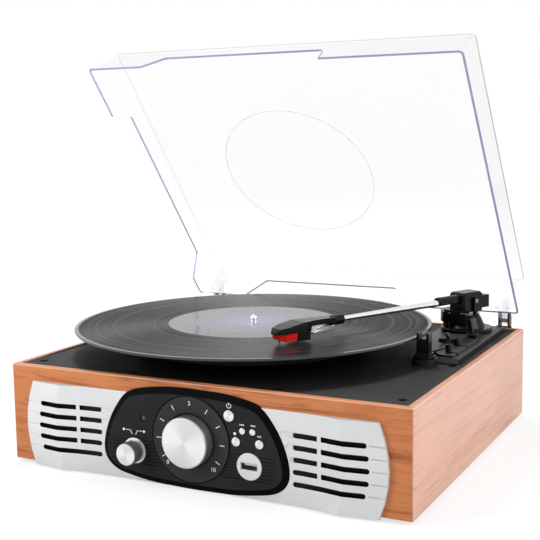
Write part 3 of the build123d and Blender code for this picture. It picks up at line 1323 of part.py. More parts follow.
hinge_clips.part.label = "hinge_clips"
export_step(hinge_clips.part, "parts/hinge_clips.step")
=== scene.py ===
"""Looks of a wooden turntable with a clear cover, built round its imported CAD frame.

Each sub-assembly is a class that dresses its own CAD nodes and adds the details
that the solids leave out: printed dial marks, grain, grooves and the studio.
Lengths are metres in the row frame: +X right, +Y back, +Z up.
"""

import json
import logging
import math
from collections.abc import Callable
from dataclasses import dataclass, field
from enum import Enum
from typing import Any

import bmesh  # noqa: E402
import bpy  # noqa: E402
from mathutils import Matrix, Vector  # noqa: E402

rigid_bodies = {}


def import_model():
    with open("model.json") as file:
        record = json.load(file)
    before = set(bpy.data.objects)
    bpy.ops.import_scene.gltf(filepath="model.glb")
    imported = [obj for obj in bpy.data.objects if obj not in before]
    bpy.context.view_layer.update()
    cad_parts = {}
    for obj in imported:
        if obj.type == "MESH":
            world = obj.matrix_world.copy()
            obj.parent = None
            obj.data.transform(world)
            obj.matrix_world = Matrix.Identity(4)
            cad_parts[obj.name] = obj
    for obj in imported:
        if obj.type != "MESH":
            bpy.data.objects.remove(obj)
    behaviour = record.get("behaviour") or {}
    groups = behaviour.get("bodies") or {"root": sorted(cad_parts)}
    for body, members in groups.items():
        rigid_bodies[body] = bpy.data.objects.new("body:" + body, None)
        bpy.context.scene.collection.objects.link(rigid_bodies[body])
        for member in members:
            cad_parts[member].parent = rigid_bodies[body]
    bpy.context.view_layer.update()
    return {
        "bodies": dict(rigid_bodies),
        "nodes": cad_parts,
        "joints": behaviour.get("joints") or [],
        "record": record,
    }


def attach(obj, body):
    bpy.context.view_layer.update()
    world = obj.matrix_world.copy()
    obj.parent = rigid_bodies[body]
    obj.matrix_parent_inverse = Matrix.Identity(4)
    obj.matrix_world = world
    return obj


LOG = logging.getLogger("turntable")
MM = 0.001
FOOT_HEIGHT = 3.0 * MM

Colour = tuple[float, float, float]
Point = tuple[float, float, float]


class Grain(Enum):
    """The row axis that a board's grain follows."""

    ACROSS = "x"
    DEPTH = "y"


class Sheen(Enum):
    """Roughness of the moulded and painted surfaces, from mirror to dull."""

    GLOSS = 0.12
    SILK = 0.22
    SATIN = 0.38
    MATTE = 0.6


# ---------------------------------------------------------------- node graphs


class Graph:
    """A small builder for one material's node tree."""

    def __init__(self, name: str) -> None:
        """Start an empty material.

        Args:
            name: the material's name in the file.
        """
        self.material = bpy.data.materials.new(name)
        self.material.use_nodes = True
        self.tree = self.material.node_tree
        self.tree.nodes.clear()
        self.output = self.tree.nodes.new("ShaderNodeOutputMaterial")

    def add(self, kind: str, settings: dict[str, Any] | None = None, **inputs: Any) -> bpy.types.Node:
        """Add a node.

        Args:
            kind: the node's type without the ShaderNode prefix.
            settings: properties of the node itself.
            **inputs: socket values or sockets to link, spaces written as underscores.

        Returns:
            The new node.
        """
        node = self.tree.nodes.new("ShaderNode" + kind)
        for key, value in (settings or {}).items():
            setattr(node, key, value)
        for key, value in inputs.items():
            self.plug(node, key.replace("_", " "), value)
        return node

    def plug(self, node: bpy.types.Node, socket: str, value: Any) -> None:
        """Set or link one input of a node.

        Args:
            node: the node that takes the value.
            socket: the input's name, or its index written as text.
            value: a number, a colour or another node's output socket.
        """
        target = node.inputs[int(socket[1:])] if socket.startswith("#") else node.inputs[socket]
        if isinstance(value, bpy.types.NodeSocket):
            self.tree.links.new(value, target)
        elif isinstance(value, tuple) and len(value) == 3 and target.type == "RGBA":
            target.default_value = (*value, 1.0)
        else:
            target.default_value = value

    def place(self) -> bpy.types.NodeSocket:
        """Return the object-space position, which is the row frame on every CAD node."""
        return self.add("TexCoord").outputs["Object"]

    def spread(self, vector: bpy.types.NodeSocket, scale: Point,
               location: Point = (0, 0, 0)) -> bpy.types.NodeSocket:
        """Return a vector moved and scaled along each axis."""
        return self.add("Mapping", Vector=vector, Scale=scale, Location=location).outputs["Vector"]

    def noise(self, vector: bpy.types.NodeSocket, scale: float, detail: float = 4.0, rough: float = 0.55,
              distortion: float = 0.0) -> bpy.types.NodeSocket:
        """Return the strength of a noise texture."""
        node = self.add("TexNoise", Vector=vector, Scale=scale, Detail=detail, Roughness=rough,
                        Distortion=distortion)
        return node.outputs["Fac"]

    def ramp(self, value: bpy.types.NodeSocket, stops: list[tuple[float, Colour]]) -> bpy.types.NodeSocket:
        """Return a colour read from a ramp of (position, colour) stops."""
        node = self.add("ValToRGB", Fac=value)
        ramp = node.color_ramp
        while len(ramp.elements) < len(stops):
            ramp.elements.new(0.5)
        for element, (position, colour) in zip(ramp.elements, stops):
            element.position = position
            element.color = (*colour, 1.0)
        return node.outputs["Color"]

    def maths(self, operation: str, first: Any, second: Any = 0.0) -> bpy.types.NodeSocket:
        """Return the result of a Math node."""
        node = self.add("Math", {"operation": operation})
        self.plug(node, "#0", first)
        self.plug(node, "#1", second)
        return node.outputs[0]

    def band(self, value: bpy.types.NodeSocket, low: float, high: float, to_low: float = 0.0,
             to_high: float = 1.0) -> bpy.types.NodeSocket:
        """Return a value mapped smoothly from one range to another."""
        node = self.add("MapRange", {"interpolation_type": "SMOOTHSTEP"}, Value=value)
        for socket, number in (("From Min", low), ("From Max", high), ("To Min", to_low), ("To Max", to_high)):
            node.inputs[socket].default_value = number
        return node.outputs["Result"]

    def mix(self, factor: Any, first: Any, second: Any, blend: str = "MIX") -> bpy.types.NodeSocket:
        """Return a mix of two colours."""
        node = self.add("Mix", {"data_type": "RGBA", "blend_type": blend})
        self.plug(node, "#0", factor)
        self.plug(node, "#6", first)
        self.plug(node, "#7", second)
        return node.outputs[2]

    def bump(self, height: bpy.types.NodeSocket, distance: float, strength: float = 1.0,
             normal: bpy.types.NodeSocket | None = None) -> bpy.types.NodeSocket:
        """Return a normal bumped by a height."""
        node = self.add("Bump", Height=height, Distance=distance, Strength=strength)
        if normal is not None:
            self.plug(node, "Normal", normal)
        return node.outputs["Normal"]

    def soft_edges(self, radius: float) -> bpy.types.NodeSocket:
        """Return a normal that rounds sharp edges by a radius."""
        return self.add("Bevel", {"samples": 4}, Radius=radius).outputs["Normal"]

    def surface(self, shader: bpy.types.NodeSocket) -> bpy.types.Material:
        """Link the last shader to the output and return the material."""
        self.tree.links.new(shader, self.output.inputs["Surface"])
        return self.material

    def principled(self, **inputs: Any) -> bpy.types.NodeSocket:
        """Return a Principled shader's output."""
        return self.add("BsdfPrincipled", **inputs).outputs["BSDF"]


# ------------------------------------------------------------------- finishes


@dataclass(frozen=True)
class WoodFinish:
    """Cherry laminate with fine streaks along the grain, a painted highlight along its rounded edges and, where a rim
    tint is given, painted shade on its up-facing faces.
    """

    name: str
    grain: Grain
    pale: Colour = (0.557, 0.200, 0.074)
    middle: Colour = (0.44, 0.138, 0.040)
    dark: Colour = (0.23, 0.054, 0.013)
    gloss: float = 0.2
    along: float = 3.4
    wave: float = 1.1
    # painted shade: a tint that up-facing faces are multiplied by, white for none
    rim: Colour = (1.0, 1.0, 1.0)

    def make(self) -> bpy.types.Material:
        """Return the material."""
        g = Graph(self.name)
        where = g.place()
        stretch = (self.along, 38.0, 42.0) if self.grain is Grain.ACROSS else (38.0, self.along, 42.0)
        fine = tuple(4.0 * s for s in stretch)
        figure = g.noise(g.spread(where, stretch), 1.5, 4.0, 0.55, self.wave)
        veins = g.noise(g.spread(where, tuple(1.7 * s for s in stretch), (3.1, 1.7, 0.4)), 1.4, 5.0, 0.6, 0.7)
        streaks = g.noise(g.spread(where, fine), 2.2, 6.0, 0.65, 0.3)
        patches = g.noise(where, 9.0, 2.0)
        base = g.ramp(figure, [(0.26, self.middle), (0.45, self.pale), (0.56, self.pale), (0.76, self.middle)])
        base = g.mix(g.band(veins, 0.57, 0.70, 0.0, 0.82), base, self.dark)
        lines = g.ramp(streaks, [(0.30, (0.66, 0.54, 0.48)), (0.47, (1.0, 1.0, 1.0)), (0.72, (1.06, 1.05, 1.04))])
        colour = g.mix(0.8, base, lines, "MULTIPLY")
        drift = g.ramp(patches, [(0.35, (0.86, 0.82, 0.78)), (0.62, (1.0, 1.0, 1.0))])
        colour = g.mix(0.8, colour, drift, "MULTIPLY")
        up = g.add("SeparateXYZ", Vector=g.add("NewGeometry").outputs["Normal"]).outputs["Z"]
        # painted shade: up-facing faces are multiplied by the rim tint
        colour = g.mix(g.band(up, 0.80, 0.97), colour, g.mix(1.0, colour, self.rim, "MULTIPLY"))
        # painted highlight: faces between level and upright, the rounded edges, are mixed towards a pale colour
        painted_edge_highlight = g.maths("MULTIPLY", g.band(up, 0.12, 0.4), g.band(up, 0.75, 0.95, 1.0, 0.0))
        colour = g.mix(g.maths("MULTIPLY", painted_edge_highlight, 0.35), colour, (0.86, 0.60, 0.46))
        normal = g.bump(streaks, 0.00006, 0.5, g.soft_edges(0.0008))
        rough = g.band(streaks, 0.3, 0.7, 0.32, 0.42)
        return g.surface(g.principled(Base_Color=colour, Roughness=rough, Normal=normal,
                                      Specular_IOR_Level=self.gloss))


@dataclass(frozen=True)
class PlasticFinish:
    """Moulded plastic: a colour that varies a little, with a fine texture in the mould."""

    name: str
    colour: Colour
    sheen: Sheen = Sheen.SATIN
    texture: float = 0.00002
    grain_scale: float = 900.0
    variation: float = 0.12
    edge: float = 0.0004
    coat: float = 0.0
    metallic: float = 0.0
    gloss: float = 0.5

    def make(self) -> bpy.types.Material:
        """Return the material."""
        g = Graph(self.name)
        where = g.place()
        clouds = g.noise(where, 24.0, 3.0)
        low = tuple(c * (1.0 - self.variation) for c in self.colour)
        high = tuple(min(1.0, c * (1.0 + self.variation)) for c in self.colour)
        colour = g.ramp(clouds, [(0.35, low), (0.65, high)])
        pits = g.noise(where, self.grain_scale, 2.0)
        normal = g.bump(pits, self.texture, 0.6, g.soft_edges(self.edge))
        base = self.sheen.value
        rough = g.band(clouds, 0.3, 0.7, base * 0.92, base * 1.08)
        return g.surface(g.principled(Base_Color=colour, Roughness=rough, Normal=normal, Coat_Weight=self.coat,
                                      Coat_Roughness=0.06, Metallic=self.metallic,
                                      Specular_IOR_Level=self.gloss))


@dataclass(frozen=True)
class MetalFinish:
    """Bare or plated metal with faint scratches."""

    name: str
    colour: Colour
    roughness: float
    scratch: tuple[float, float, float] = (60.0, 60.0, 60.0)

    def make(self) -> bpy.types.Material:
        """Return the material."""
        g = Graph(self.name)
        marks = g.noise(g.spread(g.place(), self.scratch), 6.0, 6.0, 0.7)
        low = tuple(c * 0.93 for c in self.colour)
        colour = g.ramp(marks, [(0.3, low), (0.7, self.colour)])
        rough = g.band(marks, 0.3, 0.7, self.roughness * 0.8, self.roughness * 1.2)
        normal = g.bump(marks, 0.00001, 0.4, g.soft_edges(0.0003))
        return g.surface(g.principled(Base_Color=colour, Roughness=rough, Normal=normal, Metallic=1.0))


@dataclass(frozen=True)
class SpunMetalWithPaintedLight:
    """Aluminium turned on a lathe: rings about an axis, with painted highlight in wedges round the axis and painted
    shade on the round sides.
    """

    name: str
    centre: Point
    wedges: float = 2.0
    turn: float = 0.6
    colour: Colour = (0.80, 0.805, 0.81)
    # painted shade: how bright the round sides are painted, as a fraction of the face
    side: float = 0.45

    def make(self) -> bpy.types.Material:
        """Return the material."""
        g = Graph(self.name)
        where = g.spread(g.place(), (1, 1, 1), tuple(-c for c in self.centre))
        split = g.add("SeparateXYZ", Vector=where)
        x, z = split.outputs["X"], split.outputs["Z"]
        radius = g.maths("SQRT", g.maths("ADD", g.maths("MULTIPLY", x, x), g.maths("MULTIPLY", z, z)))
        angle = g.maths("ARCTAN2", z, x)
        # painted highlight: the face is painted brighter and darker in wedges round the axis
        painted_highlight_wave = g.maths("COSINE", g.maths("ADD", g.maths("MULTIPLY", angle, self.wedges), self.turn))
        face = g.add("NewGeometry").outputs["Normal"]
        front = g.band(g.maths("ABSOLUTE", g.add("SeparateXYZ", Vector=face).outputs["Y"]), 0.85, 0.97)
        glow = g.band(painted_highlight_wave, -1.0, 1.0, 0.80, 1.0)
        # painted shade: faces that don't face front or back take the darker side value
        painted_side_shade = g.maths("MULTIPLY", g.maths("SUBTRACT", 1.0, front), self.side)
        shade = g.maths("ADD", g.maths("MULTIPLY", glow, front), painted_side_shade)
        rings = g.add("TexNoise", {"noise_dimensions": "1D"}, W=radius, Scale=5200.0, Detail=3.0).outputs["Fac"]
        lined = g.band(rings, 0.25, 0.75, 0.93, 1.04)
        tone = g.maths("MULTIPLY", shade, lined)
        colour = g.mix(1.0, self.colour, g.add("CombineColor", Red=tone, Green=tone, Blue=tone).outputs["Color"],
                       "MULTIPLY")
        normal = g.bump(rings, 0.000006, 0.6, g.soft_edges(0.0004))
        return g.surface(g.principled(Base_Color=colour, Roughness=0.32, Metallic=0.85, Normal=normal,
                                      Anisotropic=0.5))


@dataclass(frozen=True)
class VinylFinish:
    """Black vinyl with fine grooves, the gaps between the tracks and a smooth run-out, with the smooth parts painted
    a lighter grey as painted sheen.
    """

    name: str
    centre: Point
    gaps: tuple[float, ...] = (0.0847, 0.102, 0.118, 0.133)
    run_out: float = 0.0725
    lead_in: float = 0.147
    blend: float = 0.0006

    def make(self) -> bpy.types.Material:
        """Return the material."""
        g = Graph(self.name)
        where = g.spread(g.place(), (1, 1, 1), tuple(-c for c in self.centre))
        split = g.add("SeparateXYZ", Vector=where)
        x, y = split.outputs["X"], split.outputs["Y"]
        radius = g.maths("SQRT", g.maths("ADD", g.maths("MULTIPLY", x, x), g.maths("MULTIPLY", y, y)))
        rings = g.add("TexNoise", {"noise_dimensions": "1D"}, W=radius, Scale=2600.0, Detail=4.0).outputs["Fac"]
        slow = g.add("TexNoise", {"noise_dimensions": "1D"}, W=radius, Scale=190.0, Detail=3.0).outputs["Fac"]
        grooved = g.maths("MULTIPLY", g.band(radius, self.run_out - self.blend, self.run_out + self.blend),
                          g.band(radius, self.lead_in, self.lead_in + self.blend, 1.0, 0.0))
        cut = grooved
        for track_gap in self.gaps:
            off = g.maths("ABSOLUTE", g.maths("SUBTRACT", radius, track_gap))
            cut = g.maths("MULTIPLY", cut, g.band(off, 0.0003, 0.0007))
        depth = g.maths("MULTIPLY", rings, cut)
        tone = g.band(slow, 0.3, 0.7, 0.006, 0.014)
        # painted sheen: the smooth gaps, run-out and lead-in are painted a lighter grey than the grooves
        painted_smooth_sheen = g.maths("SUBTRACT", 1.0, cut)
        grey = g.maths("ADD", g.maths("MULTIPLY", tone, cut), g.maths("MULTIPLY", painted_smooth_sheen, 0.04))
        colour = g.add("CombineColor", Red=grey, Green=grey, Blue=grey).outputs["Color"]
        bare = g.maths("SUBTRACT", 1.0, grooved)
        rough = g.maths("ADD", 0.10, g.maths("MULTIPLY", grooved, g.band(slow, 0.3, 0.7, 0.15, 0.24)))
        normal = g.bump(depth, 0.00003, 0.5)
        tangent = g.add("Tangent", {"direction_type": "RADIAL", "axis": "Z"}).outputs["Tangent"]
        return g.surface(g.principled(Base_Color=colour, Roughness=rough, Normal=normal, Anisotropic=0.9,
                                      Tangent=tangent, Specular_IOR_Level=0.062,
                                      Coat_Weight=g.maths("MULTIPLY", bare, 0.6), Coat_Roughness=0.07))


@dataclass(frozen=True)
class LabelFinish:
    """Glossy paper of the record's label, pale lilac with a darker rim."""

    name: str
    centre: Point
    inner: Colour = (0.24, 0.215, 0.33)
    outer: Colour = (0.155, 0.145, 0.185)

    def make(self) -> bpy.types.Material:
        """Return the material."""
        g = Graph(self.name)
        where = g.spread(g.place(), (1, 1, 1), tuple(-c for c in self.centre))
        split = g.add("SeparateXYZ", Vector=where)
        x, y = split.outputs["X"], split.outputs["Y"]
        radius = g.maths("SQRT", g.maths("ADD", g.maths("MULTIPLY", x, x), g.maths("MULTIPLY", y, y)))
        base = g.ramp(g.band(radius, 0.0, 0.05), [(0.0, self.inner), (0.70, self.outer), (1.0, self.outer)])
        paper = g.noise(where, 420.0, 4.0)
        colour = g.mix(0.25, base, g.ramp(paper, [(0.3, (0.86, 0.86, 0.88)), (0.7, (1.0, 1.0, 1.0))]), "MULTIPLY")
        pressed = g.maths("ABSOLUTE", g.maths("SUBTRACT", radius, 0.0165))
        normal = g.bump(g.band(pressed, 0.0003, 0.0009), 0.0002, 0.8)
        return g.surface(g.principled(Base_Color=colour, Roughness=0.24, Normal=normal,
                                      Specular_IOR_Level=0.4))


@dataclass(frozen=True)
class ClearFinish:
    """Clear moulded plastic, so thin that only a faint film of it shows."""

    name: str
    colour: Colour
    film: float
    haze: float = 0.05

    def make(self) -> bpy.types.Material:
        """Return the material."""
        g = Graph(self.name)
        cloud = g.noise(g.place(), 30.0, 3.0)
        low = tuple(c * 0.97 for c in self.colour)
        colour = g.ramp(cloud, [(0.35, low), (0.65, self.colour)])
        rough = g.band(cloud, 0.3, 0.7, self.haze, self.haze * 1.8)
        return g.surface(g.principled(Base_Color=colour, Roughness=rough, IOR=1.49, Alpha=self.film))


@dataclass(frozen=True)
class PrintFinish:
    """White pad-printed ink."""

    name: str
    colour: Colour = (0.86, 0.86, 0.87)

    def make(self) -> bpy.types.Material:
        """Return the material."""
        g = Graph(self.name)
        wear = g.noise(g.place(), 700.0, 3.0)
        low = tuple(c * 0.86 for c in self.colour)
        colour = g.ramp(wear, [(0.3, low), (0.6, self.colour)])
        return g.surface(g.principled(Base_Color=colour, Roughness=g.band(wear, 0.3, 0.7, 0.4, 0.6)))


# --------------------------------------------------------------------- meshes


class Shapes:
    """Small meshes made in code and set on the row frame."""

    @staticmethod
    def solid(name: str, outline: list[tuple[float, float]], matrix: Matrix, thickness: float) -> bpy.types.Object:
        """Return a flat outline given a thickness.

        Args:
            name: the piece's name.
            outline: corner points in the plane's x and y, in metres, anticlockwise.
            matrix: the plane; its z axis is the way the outline is thickened.
            thickness: how far it is thickened, in metres.

        Returns:
            The new object, linked to the scene.
        """
        made = bmesh.new()
        low = [made.verts.new((x, y, 0.0)) for x, y in outline]
        high = [made.verts.new((x, y, thickness)) for x, y in outline]
        made.faces.new(list(reversed(low)))
        made.faces.new(high)
        count = len(outline)
        for k in range(count):
            j = (k + 1) % count
            made.faces.new((low[k], low[j], high[j], high[k]))
        return Shapes.link(name, made, matrix)

    @staticmethod
    def link(name: str, made: bmesh.types.BMesh, matrix: Matrix) -> bpy.types.Object:
        """Turn a bmesh into an object whose points are in the row frame."""
        made.transform(matrix)
        bmesh.ops.recalc_face_normals(made, faces=made.faces)
        data = bpy.data.meshes.new(name)
        made.to_mesh(data)
        made.free()
        item = bpy.data.objects.new(name, data)
        bpy.context.scene.collection.objects.link(item)
        return item

    @staticmethod
    def ring_outline(radius: float, width: float, start: float, end: float,
                     steps: int = 28) -> list[tuple[float, float]]:
        """Return the outline of an arc band.

        Args:
            radius: the arc's middle radius, in metres.
            width: the band's width, in metres.
            start: where it starts, in degrees from +x.
            end: where it ends, in degrees from +x.
            steps: how many straight pieces it has.

        Returns:
            Its corner points.
        """
        points = []
        for k in range(steps + 1):
            a = math.radians(start + (end - start) * k / steps)
            points.append(((radius + width / 2) * math.cos(a), (radius + width / 2) * math.sin(a)))
        for k in range(steps, -1, -1):
            a = math.radians(start + (end - start) * k / steps)
            points.append(((radius - width / 2) * math.cos(a), (radius - width / 2) * math.sin(a)))
        return points

    @staticmethod
    def joined(name: str, parts: list[bpy.types.Object]) -> bpy.types.Object:
        """Join several small pieces into one object."""
        made = bmesh.new()
        for part in parts:
            made.from_mesh(part.data)
            data = part.data
            bpy.data.objects.remove(part)
            bpy.data.meshes.remove(data)
        return Shapes.link(name, made, Matrix.Identity(4))


# --------------------------------------------------------------- the assembly


@dataclass
class Dressing:
    """Gives the CAD nodes their finishes."""

    frame: dict[str, Any]
    made: dict[str, bpy.types.Material] = field(default_factory=dict)

    def finish(self, finish: Any) -> bpy.types.Material:
        """Return the material of a finish, made once."""
        if finish.name not in self.made:
            self.made[finish.name] = finish.make()
        return self.made[finish.name]

    def dress(self, finish: Any, *nodes: str) -> None:
        """Give CAD nodes one finish.

        Args:
            finish: the finish that they take.
            *nodes: names of the nodes.
        """
        material = self.finish(finish)
        for name in nodes:
            node = self.frame["nodes"][name]
            node.data.materials.clear()
            node.data.materials.append(material)
            LOG.info("dressed %s as %s", name, material.name)

    def paint(self, finish: Any, name: str, chosen: Callable[[Vector, Vector], bool]) -> None:
        """Give some faces of a CAD node a second finish.

        Args:
            finish: the finish that they take.
            name: the node.
            chosen: says of a face's middle and normal whether it takes the finish.
        """
        data = self.frame["nodes"][name].data
        data.materials.append(self.finish(finish))
        slot = len(data.materials) - 1
        for face in data.polygons:
            if chosen(face.center, face.normal):
                face.material_index = slot

    def smooth(self, limit: float, *nodes: str) -> None:
        """Shade nodes smooth below an angle in degrees."""
        for name in nodes:
            data = self.frame["nodes"][name].data
            data.shade_smooth()
            sharp = data.attributes.get("sharp_edge") or data.attributes.new("sharp_edge", "BOOLEAN", "EDGE")
            made = bmesh.new()
            made.from_mesh(data)
            made.normal_update()
            flags = [len(e.link_faces) != 2 or e.calc_face_angle(0.0) > math.radians(limit) for e in made.edges]
            made.free()
            sharp.data.foreach_set("value", flags)


SATIN_BLACK = PlasticFinish("satin_black", (0.010, 0.010, 0.011), Sheen.SATIN, gloss=0.25)
PANEL_BLACK = PlasticFinish("panel_black", (0.022, 0.022, 0.024), Sheen.SILK, texture=0.000004, gloss=0.035)
RING_BLACK = PlasticFinish("ring_black", (0.034, 0.034, 0.037), Sheen.SILK, texture=0.000004, gloss=0.05)
# near-black matte, for the screws and for painted shade on the trim's slot walls and the panel's sides
BLACK_AND_PAINTED_SHADE = PlasticFinish("black_and_painted_shade", (0.003, 0.003, 0.0032), Sheen.MATTE, gloss=0.02)
ARM_BLACK = PlasticFinish("arm_black", (0.003, 0.003, 0.0034), Sheen.SILK, edge=0.0005, gloss=0.15)
SILVER = PlasticFinish("satin_silver", (0.655, 0.66, 0.67), Sheen.SATIN, texture=0.000006, variation=0.03,
                       edge=0.0006, metallic=0.3, gloss=0.4)
INK = PrintFinish("white_ink")


@dataclass
class Cabinet:
    """The wooden box, its deck, floor and feet."""

    dressing: Dressing

    def build(self) -> None:
        """Dress the boards along their grain and the hidden parts plainly."""
        front = WoodFinish("cherry_across", Grain.ACROSS)
        # painted light: the side boards take paler, pinker colours than the front boards, standing in for the light
        # they reflect, and a rim tint that paints shade on their tops
        side = WoodFinish("cherry_depth_painted_light", Grain.DEPTH, pale=(0.64, 0.37, 0.275), middle=(0.565, 0.29, 0.20),
                          dark=(0.36, 0.16, 0.125), gloss=0.45, along=1.7, wave=0.5, rim=(0.86, 0.66, 0.52))
        raw = WoodFinish("raw_pine", Grain.ACROSS, (0.66, 0.48, 0.28), (0.58, 0.40, 0.22), (0.42, 0.27, 0.13))
        board = WoodFinish("pressed_board", Grain.DEPTH, (0.20, 0.13, 0.08), (0.16, 0.10, 0.06), (0.10, 0.06, 0.035))
        self.dressing.dress(front, "cabinet_front", "cabinet_back")
        self.dressing.dress(side, "cabinet_left", "cabinet_right")
        self.dressing.dress(raw, "cabinet_cleats")
        self.dressing.dress(board, "floor_panel")
        self.dressing.dress(PlasticFinish("deck_black", (0.005, 0.005, 0.0052), Sheen.MATTE, texture=0.00003, gloss=0.14),
                            "deck_plate")
        self.dressing.dress(PlasticFinish("foot_rubber", (0.02, 0.02, 0.02), Sheen.MATTE), "rubber_feet",
                            "drive_belt", "platter_mat")
        self.dressing.dress(BLACK_AND_PAINTED_SHADE, "screws")
        self.dressing.dress(SATIN_BLACK, "platter", "jack_panel", "power_inlet", "hinge_clips", "mode_switch")
        self.dressing.dress(MetalFinish("brass", (0.75, 0.55, 0.26), 0.25), "line_sockets", "motor_pulley",
                            "bearing_housing")
        self.dressing.dress(MetalFinish("pressed_steel", (0.52, 0.53, 0.55), 0.35), "motor", "volume_control",
                            "volume_shaft", "mode_shaft", "usb_socket", "cartridge_leads")
        self.dressing.dress(PlasticFinish("circuit_green", (0.02, 0.12, 0.05), Sheen.SATIN), "main_board",
                            "control_board")
        self.dressing.dress(PlasticFinish("speaker_paper", (0.008, 0.008, 0.008), Sheen.MATTE, gloss=0.1), "speakers",
                            "speaker_cloth")
        self.dressing.smooth(35, "cabinet_front", "cabinet_back", "cabinet_left", "cabinet_right")


@dataclass
class FrontPanel:
    """The silver trim, the black control panel and the printed marks on it."""

    dressing: Dressing
    front: float = -149.0 * MM
    dial_z: float = 36.2 * MM
    panel_face: float = 4.0 * MM
    ring_face: float = 5.0 * MM
    ink: float = 0.05 * MM
    tick_angles: tuple[float, ...] = (-122, -92, -62, -32, 32, 62, 92, 122)
    tick_inner: float = 24.6 * MM
    tick_outer: float = 28.6 * MM
    digit_r: float = 27.2 * MM
    slot_middle: float = 31.4 * MM
    slot_pitch: float = 8.75 * MM
    slot_in: float = 80.2 * MM
    slot_out: float = 140.2 * MM

    def in_slot(self, point: Vector, normal: Vector) -> bool:
        """Say whether a face of the trim is a wall of one of its open slots."""
        row = (point.z - self.slot_middle) / self.slot_pitch
        near = abs(row - round(row)) * self.slot_pitch < 2.0 * MM and abs(round(row)) <= 2
        return near and self.slot_in < abs(point.x) < self.slot_out and abs(normal.y) < 0.5

    def plane(self, x: float, z: float, proud: float, spin: float = 0.0) -> Matrix:
        """Return a plane facing the viewer at a place on the front.

        Args:
            x: across the front, in metres.
            z: height, in metres.
            proud: distance in front of the wood, in metres.
            spin: turn in the plane, in degrees.

        Returns:
            A matrix whose x is to the right, y up and z towards the viewer.
        """
        turn = Matrix.Rotation(math.radians(90), 4, "X") @ Matrix.Rotation(math.radians(spin), 4, "Z")
        return Matrix.Translation((x, self.front - proud, z)) @ turn

    def bar(self, name: str, x: float, z: float, proud: float, length: float, width: float,
            spin: float) -> bpy.types.Object:
        """Return a printed bar centred at a place on the front."""
        outline = [(-length / 2, -width / 2), (length / 2, -width / 2), (length / 2, width / 2), (-length / 2, width / 2)]
        return Shapes.solid(name, outline, self.plane(x, z, proud, spin), self.ink)

    def triangle(self, x: float, z: float, size: float, side: int) -> bpy.types.Object:
        """Return a printed triangle that points left (-1) or right (1)."""
        outline = [(-side * size / 2, -size / 2), (side * size / 2, 0.0), (-side * size / 2, size / 2)]
        if side < 0:
            outline.reverse()
        return Shapes.solid("triangle", outline, self.plane(x, z, self.panel_face), self.ink)

    def arc(self, x: float, z: float, proud: float, radius: float, width: float, start: float,
            end: float) -> bpy.types.Object:
        """Return a printed arc, angles in degrees from the right."""
        outline = Shapes.ring_outline(radius, width, start, end)
        return Shapes.solid("arc", outline, self.plane(x, z, proud), self.ink)

    def ticks(self) -> list[bpy.types.Object]:
        """Return the dial marks round the volume knob."""
        marks = []
        middle = (self.tick_inner + self.tick_outer) / 2
        length = self.tick_outer - self.tick_inner
        for angle in self.tick_angles:
            a = math.radians(90 - angle)
            x, z = middle * math.cos(a), self.dial_z + middle * math.sin(a)
            marks.append(self.bar("tick", x, z, self.ring_face, length, 0.55 * MM, 90 - angle))
        return marks

    def digits(self) -> list[bpy.types.Object]:
        """Return plain numbers at the two ends of the dial and at its top, made from text."""
        marks = []
        for text, angle in (("0", -134.0), ("5", 0.0), ("10", 136.0)):
            a = math.radians(90 - angle)
            x, z = self.digit_r * math.cos(a), self.dial_z + self.digit_r * math.sin(a)
            curve = bpy.data.curves.new("digit", "FONT")
            curve.body = text
            curve.size = 4.4 * MM
            curve.align_x = "CENTER"
            curve.align_y = "CENTER"
            curve.extrude = self.ink / 2
            holder = bpy.data.objects.new("digit", curve)
            bpy.context.scene.collection.objects.link(holder)
            bpy.context.view_layer.update()
            data = bpy.data.meshes.new_from_object(holder)
            bpy.data.objects.remove(holder)
            made = bmesh.new()
            made.from_mesh(data)
            marks.append(Shapes.link("digit", made, self.plane(x, z, self.ring_face + self.ink / 2)))
        return marks

    def icons(self) -> list[bpy.types.Object]:
        """Return the plain signs over the buttons: standby, back, forward, record dot, play and pause."""
        face = self.panel_face
        thin = 0.45 * MM
        marks = [self.arc(32.2 * MM, 65.0 * MM, face, 1.7 * MM, thin, 125, 415),
                 self.bar("stem", 32.2 * MM, 66.2 * MM, face, 2.2 * MM, thin, 90)]
        for x, z, side in ((42.6, 52.3, -1), (51.2, 52.5, 1)):
            for shift in (-0.75, 0.75):
                marks.append(self.triangle((x + shift) * MM, z * MM, 1.4 * MM, side))
            marks.append(self.bar("stop", (x + side * 1.75) * MM, z * MM, face, 1.4 * MM, 0.35 * MM, 90))
        marks.append(self.arc(36.6 * MM, 45.3 * MM, face, 0.55 * MM, 1.05 * MM, 0, 359))
        marks.append(self.triangle(55.6 * MM, 45.4 * MM, 1.5 * MM, 1))
        for shift in (1.1, 1.8):
            marks.append(self.bar("pause", (55.6 + shift) * MM, 45.4 * MM, face, 1.5 * MM, 0.35 * MM, 90))
        return marks

    def pointers(self) -> list[bpy.types.Object]:
        """Return the two lead lines over the mode knob, each ending in a dot."""
        face = self.panel_face
        marks = []
        for side in (-1, 1):
            centre = -49.5
            marks.append(self.bar("lead", (centre + side * 5.2) * MM, 37.4 * MM, face, 4.2 * MM, 0.4 * MM, 0))
            marks.append(self.bar("lead", (centre + side * 2.3) * MM, 35.9 * MM, face, 3.6 * MM, 0.5 * MM, side * 62))
            marks.append(self.arc((centre + side * 9.0) * MM, 37.4 * MM, face, 0.5 * MM, 0.95 * MM, 0, 359))
        return marks

    def build(self) -> None:
        """Dress the front and add its printed marks."""
        d = self.dressing
        d.dress(SILVER, "front_trim", "usb_bezel")
        # painted shade: the walls of the trim's open slots are painted near-black
        d.paint(BLACK_AND_PAINTED_SHADE, "front_trim", self.in_slot)
        d.dress(PANEL_BLACK, "control_panel")
